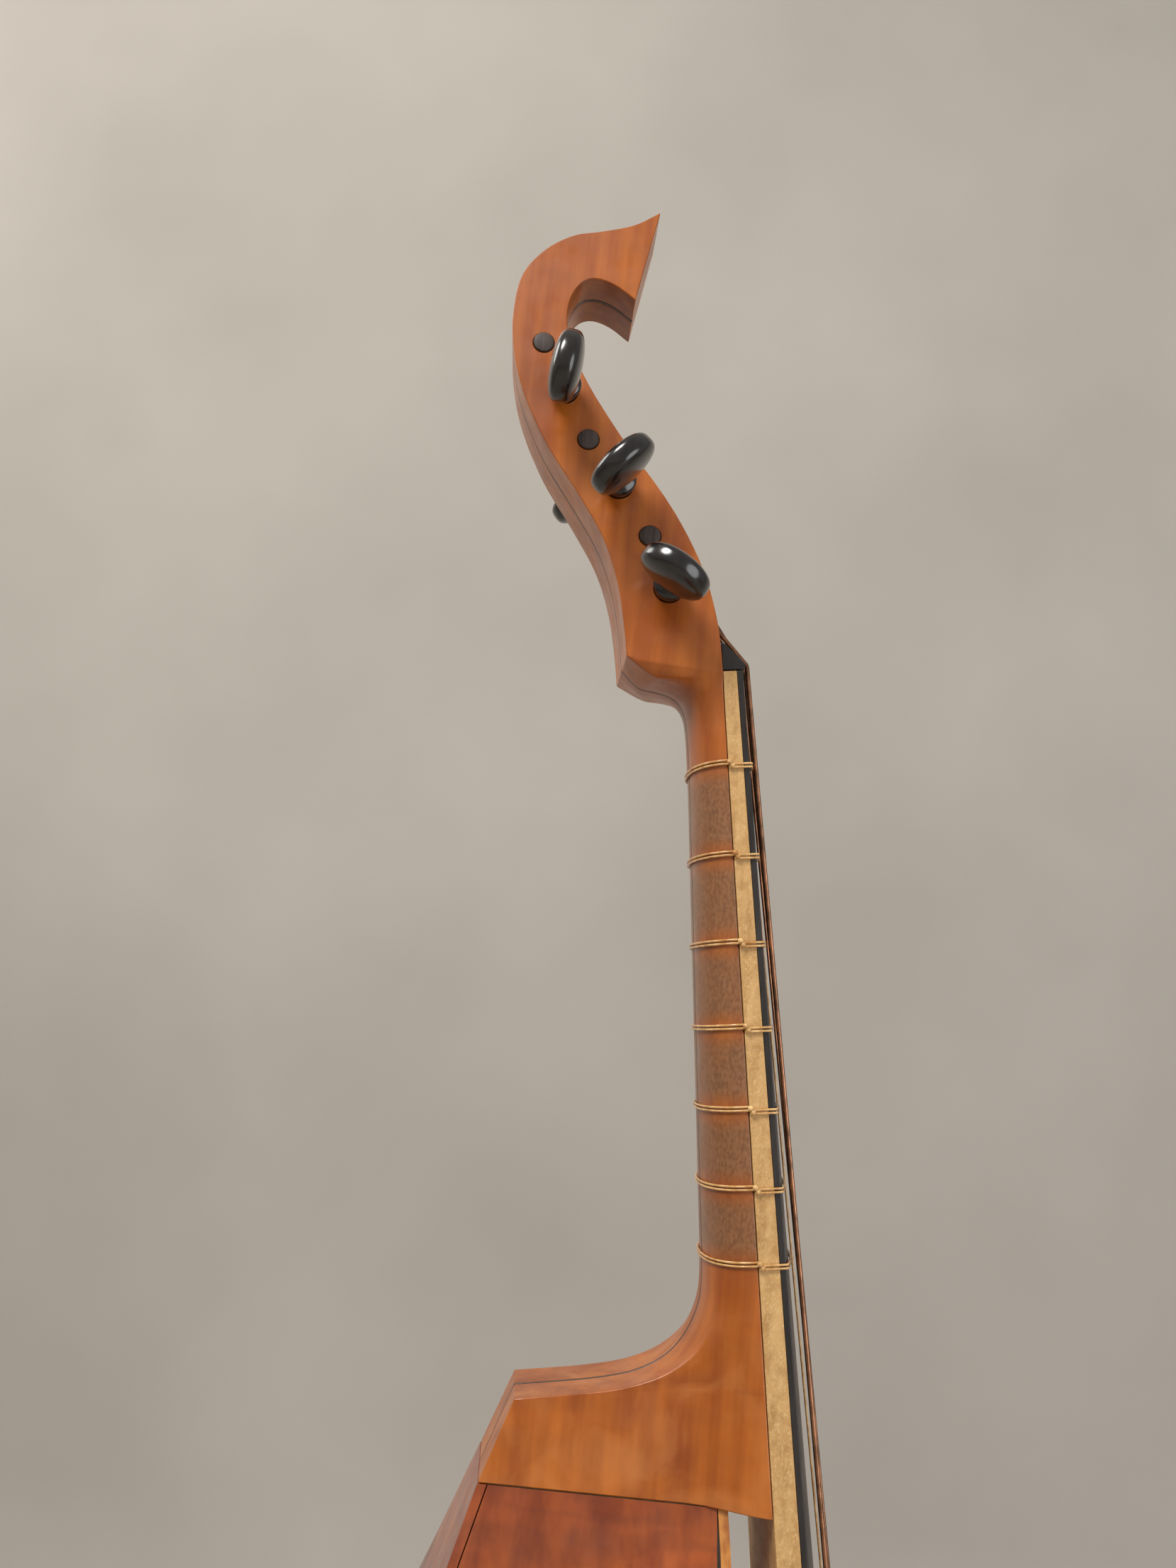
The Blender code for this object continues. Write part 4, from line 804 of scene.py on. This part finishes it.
# Six strings run from their pegs over nut and bridge to the tailpiece. The three thin ones are
# plain gut, the three thick ones are wound with copper wire.
STRING_DIAMETERS = [0.62 * MM, 0.76 * MM, 0.94 * MM, 1.2 * MM, 1.55 * MM, 1.9 * MM]
PLAIN_STRINGS = 3
NUT_SPREAD = 19.5 * MM
NUT_CREST = 1.4 * MM
NUT_LEAVE = 3.2 * MM
NUT_DROP = 0.35 * MM
BRIDGE_SPREAD = 34 * MM
BRIDGE_OUTER_FORWARD = 26.6 * MM
BRIDGE_CROWN = 9 * MM
BRIDGE_TOP_THICK = 3 * MM
WINDING_TURNS = 3
WINDING_STEPS = 48
BODY_DEPTH = 130 * MM
TAILPIECE_LENGTH = 190 * MM
TAILPIECE_THICK = 5.5 * MM
TAILPIECE_END_Z = -172 * MM
TAILPIECE_TAIL_RISE = 16 * MM
TAILPIECE_HEAD_RISE = 54 * MM
TAILPIECE_CROWN = 4 * MM
TAILPIECE_SPREAD = 23 * MM
TAILPIECE_HOLE_FROM_HEAD = 11 * MM
TAILPIECE_HALF_AT_HOLES = 29.3 * MM


def copper_wire():
    made, tree, bsdf = new_material("copper_wire")
    spots = ramp(tree, noise(tree, 160.0, 4.0), [(0.3, srgb(104, 76, 58)), (0.65, srgb(172, 122, 92))])
    tree.links.new(spots, bsdf.inputs["Base Color"])
    bsdf.inputs["Metallic"].default_value = 1.0
    roughen(tree, bsdf, noise(tree, 400.0, 3.0), 0.26, 0.44)
    emboss(tree, bsdf, noise(tree, 2400.0, 1.0, (0.3, 0.3, 1)), 0.5, 0.05 * MM)
    return made


def string_bass(number, along):
    """Where a string lies across the instrument, numbered 1 to 6 from the treble."""
    return (number - 3.5) / 2.5 * blend(NUT_SPREAD, BRIDGE_SPREAD, along / STRING_LENGTH)


def string_forward(number, along):
    """Forward of a string's middle, between nut and bridge."""
    radius = STRING_DIAMETERS[number - 1] / 2
    at_nut = board_top(0, string_bass(number, 0)) + NUT_RISE + GAP + radius
    at_bridge = BRIDGE_OUTER_FORWARD + BRIDGE_CROWN * (1 - ((number - 3.5) / 2.5) ** 2)
    return blend(at_nut, at_bridge, along / STRING_LENGTH)


def winding_radius(number, out):
    return peg_radius(out, PEGS[number - 1][3] * MM) + GAP + STRING_DIAMETERS[number - 1] / 2


def landing_on_peg(number):
    """Where a string first touches its peg: side, distance from the centre plane, angle and axis."""
    _, side, forward, up, _, bass = PEGS[number - 1]
    forward, up, bass = forward * MM, up * MM, bass * MM
    away_forward, away_up = forward - string_forward(number, 0), up - NUT_CREST
    reach = math.hypot(away_forward, away_up)
    angle = math.atan2(away_up, away_forward) - math.asin(winding_radius(number, bass) / reach) - math.pi / 2
    return side, bass, angle, forward, up


def tailpiece_hole(number):
    """The middle of a string's hole in the tailpiece, and the way out of its face."""
    sine = (TAILPIECE_HEAD_RISE - TAILPIECE_TAIL_RISE) / TAILPIECE_LENGTH
    cosine = math.sqrt(1 - sine**2)
    run, out = Vector((0, -sine, cosine)), Vector((0, -cosine, -sine))
    along = TAILPIECE_LENGTH - TAILPIECE_HOLE_FROM_HEAD
    x = -(number - 3.5) / 2.5 * TAILPIECE_SPREAD
    crown = TAILPIECE_CROWN * (0.35 + 0.65 * along / TAILPIECE_LENGTH)
    crown *= 1 - (x / TAILPIECE_HALF_AT_HOLES) ** 2
    tail = Vector((x, -BODY_DEPTH - TAILPIECE_TAIL_RISE, TAILPIECE_END_Z))
    return tail + run * along + out * crown, out


def string_path(number):
    """A string's points, from where it lands on its peg to below the tailpiece."""
    diameter = STRING_DIAMETERS[number - 1]
    side, bass, angle, forward, up = landing_on_peg(number)
    radius = winding_radius(number, bass)
    path = [neck_point(forward + radius * math.cos(angle), up + radius * math.sin(angle), side * bass),
            neck_point(string_forward(number, 0) - NUT_DROP, NUT_LEAVE, string_bass(number, 0)),
            neck_point(string_forward(number, 0), NUT_CREST, string_bass(number, 0))]
    for along in (GAP, STRING_LENGTH - BRIDGE_TOP_THICK / 2):
        path.append(neck_point(string_forward(number, along), -along, string_bass(number, along)))
    behind = STRING_LENGTH + BRIDGE_TOP_THICK / 2
    path.append(neck_point(string_forward(number, behind) - GAP, -behind, string_bass(number, behind)))
    hole, out = tailpiece_hole(number)
    path.append(hole + out * (TAILPIECE_THICK / 2 + diameter / 2 + GAP + 0.5 * MM))
    path.append(hole - out * (TAILPIECE_THICK / 2 + 2 * MM))
    return path


def turns_on_peg(number):
    """The string's turns on its peg, wound in from the peg's own cheek."""
    side, bass, start, forward, up = landing_on_peg(number)
    pitch = STRING_DIAMETERS[number - 1] + LEAST_TURN_GAP
    path = []
    for k in range(WINDING_TURNS * WINDING_STEPS + 1):
        angle = start + math.tau * k / WINDING_STEPS
        out = bass - pitch * k / WINDING_STEPS
        radius = winding_radius(number, out)
        path.append(neck_point(forward + radius * math.cos(angle), up + radius * math.sin(angle), side * out))
    return path


copper = copper_wire()
for number in range(1, 7):
    radius = STRING_DIAMETERS[number - 1] / 2
    material, slot = (copper, "copper_wound") if number > PLAIN_STRINGS else (gut, "gut")
    run = strand(f"strung_{number}", string_path(number), radius, material)
    stands_for(run, f"string_{number}")
    turns = strand(f"peg_turns_{number}", turns_on_peg(number), radius, material)
    stands_for(turns, f"string_winding_{number}", f"peg_{number}")


# The body keeps its imported solids' shapes: bent ribs, arched front, flat back with a fold, bridge,
# tailpiece and what is glued inside. Each gets its own wood and soft shading.
def dressed(node, material):
    """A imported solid's own shape with soft shading and its wood."""
    source = frame["nodes"][node]
    bm = bmesh.new()
    bm.from_mesh(source.data)
    bmesh.ops.remove_doubles(bm, verts=bm.verts, dist=0.002 * MM)
    bmesh.ops.dissolve_limit(bm, angle_limit=math.radians(0.3), verts=bm.verts, edges=bm.edges)
    made = solid(node + "_finished", bm, material)
    stands_for(made, node)


rib_wood = varnished_wood("rib_wood", srgb(136, 58, 16), srgb(172, 84, 28), 110.0, 34.0, 0.3, 0.5)
spruce = varnished_wood("spruce", srgb(164, 96, 36), srgb(206, 140, 66), 420.0, 3.0, 0.34, 0.35, 0.2, 0.94)
bridge_wood = varnished_wood("bridge_wood", srgb(160, 106, 50), srgb(198, 146, 84), 200.0, 40.0, 0.45, 0.15)
inside_wood = varnished_wood("inside_wood", srgb(180, 140, 92), srgb(210, 174, 124), 260.0, 6.0, 0.7,
                             0.0, 0.3, 0.9)
WOODS = {"rib_maple": rib_wood, "varnished_spruce": spruce, "bridge_maple": bridge_wood,
         "bare_spruce": inside_wood, "ebony": black_wood}
NODE_WOODS = {"back": "rib_maple", "belly": "varnished_spruce", "bridge": "bridge_maple",
              "tailpiece": "ebony", "hook_bar": "ebony"}
already = {name for piece in bpy.context.scene.objects for name in piece.get("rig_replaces", [])}
for node in sorted(set(frame["nodes"]) - already):
    slot = NODE_WOODS.get(node, "rib_maple" if node.startswith("rib_") else "bare_spruce")
    dressed(node, WOODS[slot])


# The floor and the backdrop are one pale cloth that turns up behind the instrument. It shows only
# from its front, so that it hides nothing from the other side.
BACKDROP_NEAR = -4.0
BACKDROP_FAR = 0.75
BACKDROP_TOP = 5.0
SWEEP_RADIUS = 0.4
SWEEP_STEPS = 12
HALF_LENGTH = 5.0
floor_height = cad_box[0][2] - 2 * MM
profile = [(BACKDROP_NEAR, floor_height)]
for step in range(SWEEP_STEPS + 1):
    angle = math.pi / 2 * step / SWEEP_STEPS
    across = BACKDROP_FAR - SWEEP_RADIUS + SWEEP_RADIUS * math.sin(angle)
    profile.append((across, floor_height + SWEEP_RADIUS * (1 - math.cos(angle))))
profile.append((BACKDROP_FAR, BACKDROP_TOP))
corners = [(x, y, z) for y in (-HALF_LENGTH, HALF_LENGTH) for x, z in profile]
count = len(profile)
faces = [(i, i + 1, count + i + 1, count + i) for i in range(count - 1)]
sweep_mesh = bpy.data.meshes.new("backdrop")
sweep_mesh.from_pydata(corners, [], faces)
sweep_mesh.shade_smooth()
backdrop = bpy.data.objects.new("backdrop", sweep_mesh)
bpy.context.scene.collection.objects.link(backdrop)
cloth, tree, bsdf = new_material("backdrop_cloth")
weave = ramp(tree, noise(tree, 3.0, 3.0), [(0.3, srgb(166, 160, 152)), (0.7, srgb(178, 172, 164))])
tree.links.new(weave, bsdf.inputs["Base Color"])
bsdf.inputs["Roughness"].default_value = 0.9
clear = tree.nodes.new("ShaderNodeBsdfTransparent")
side_of = tree.nodes.new("ShaderNodeNewGeometry")
choose = tree.nodes.new("ShaderNodeMixShader")
tree.links.new(side_of.outputs["Backfacing"], choose.inputs["Fac"])
tree.links.new(bsdf.outputs["BSDF"], choose.inputs[1])
tree.links.new(clear.outputs["BSDF"], choose.inputs[2])
tree.links.new(choose.outputs["Shader"], tree.nodes["Material Output"].inputs["Surface"])
sweep_mesh.materials.append(cloth)
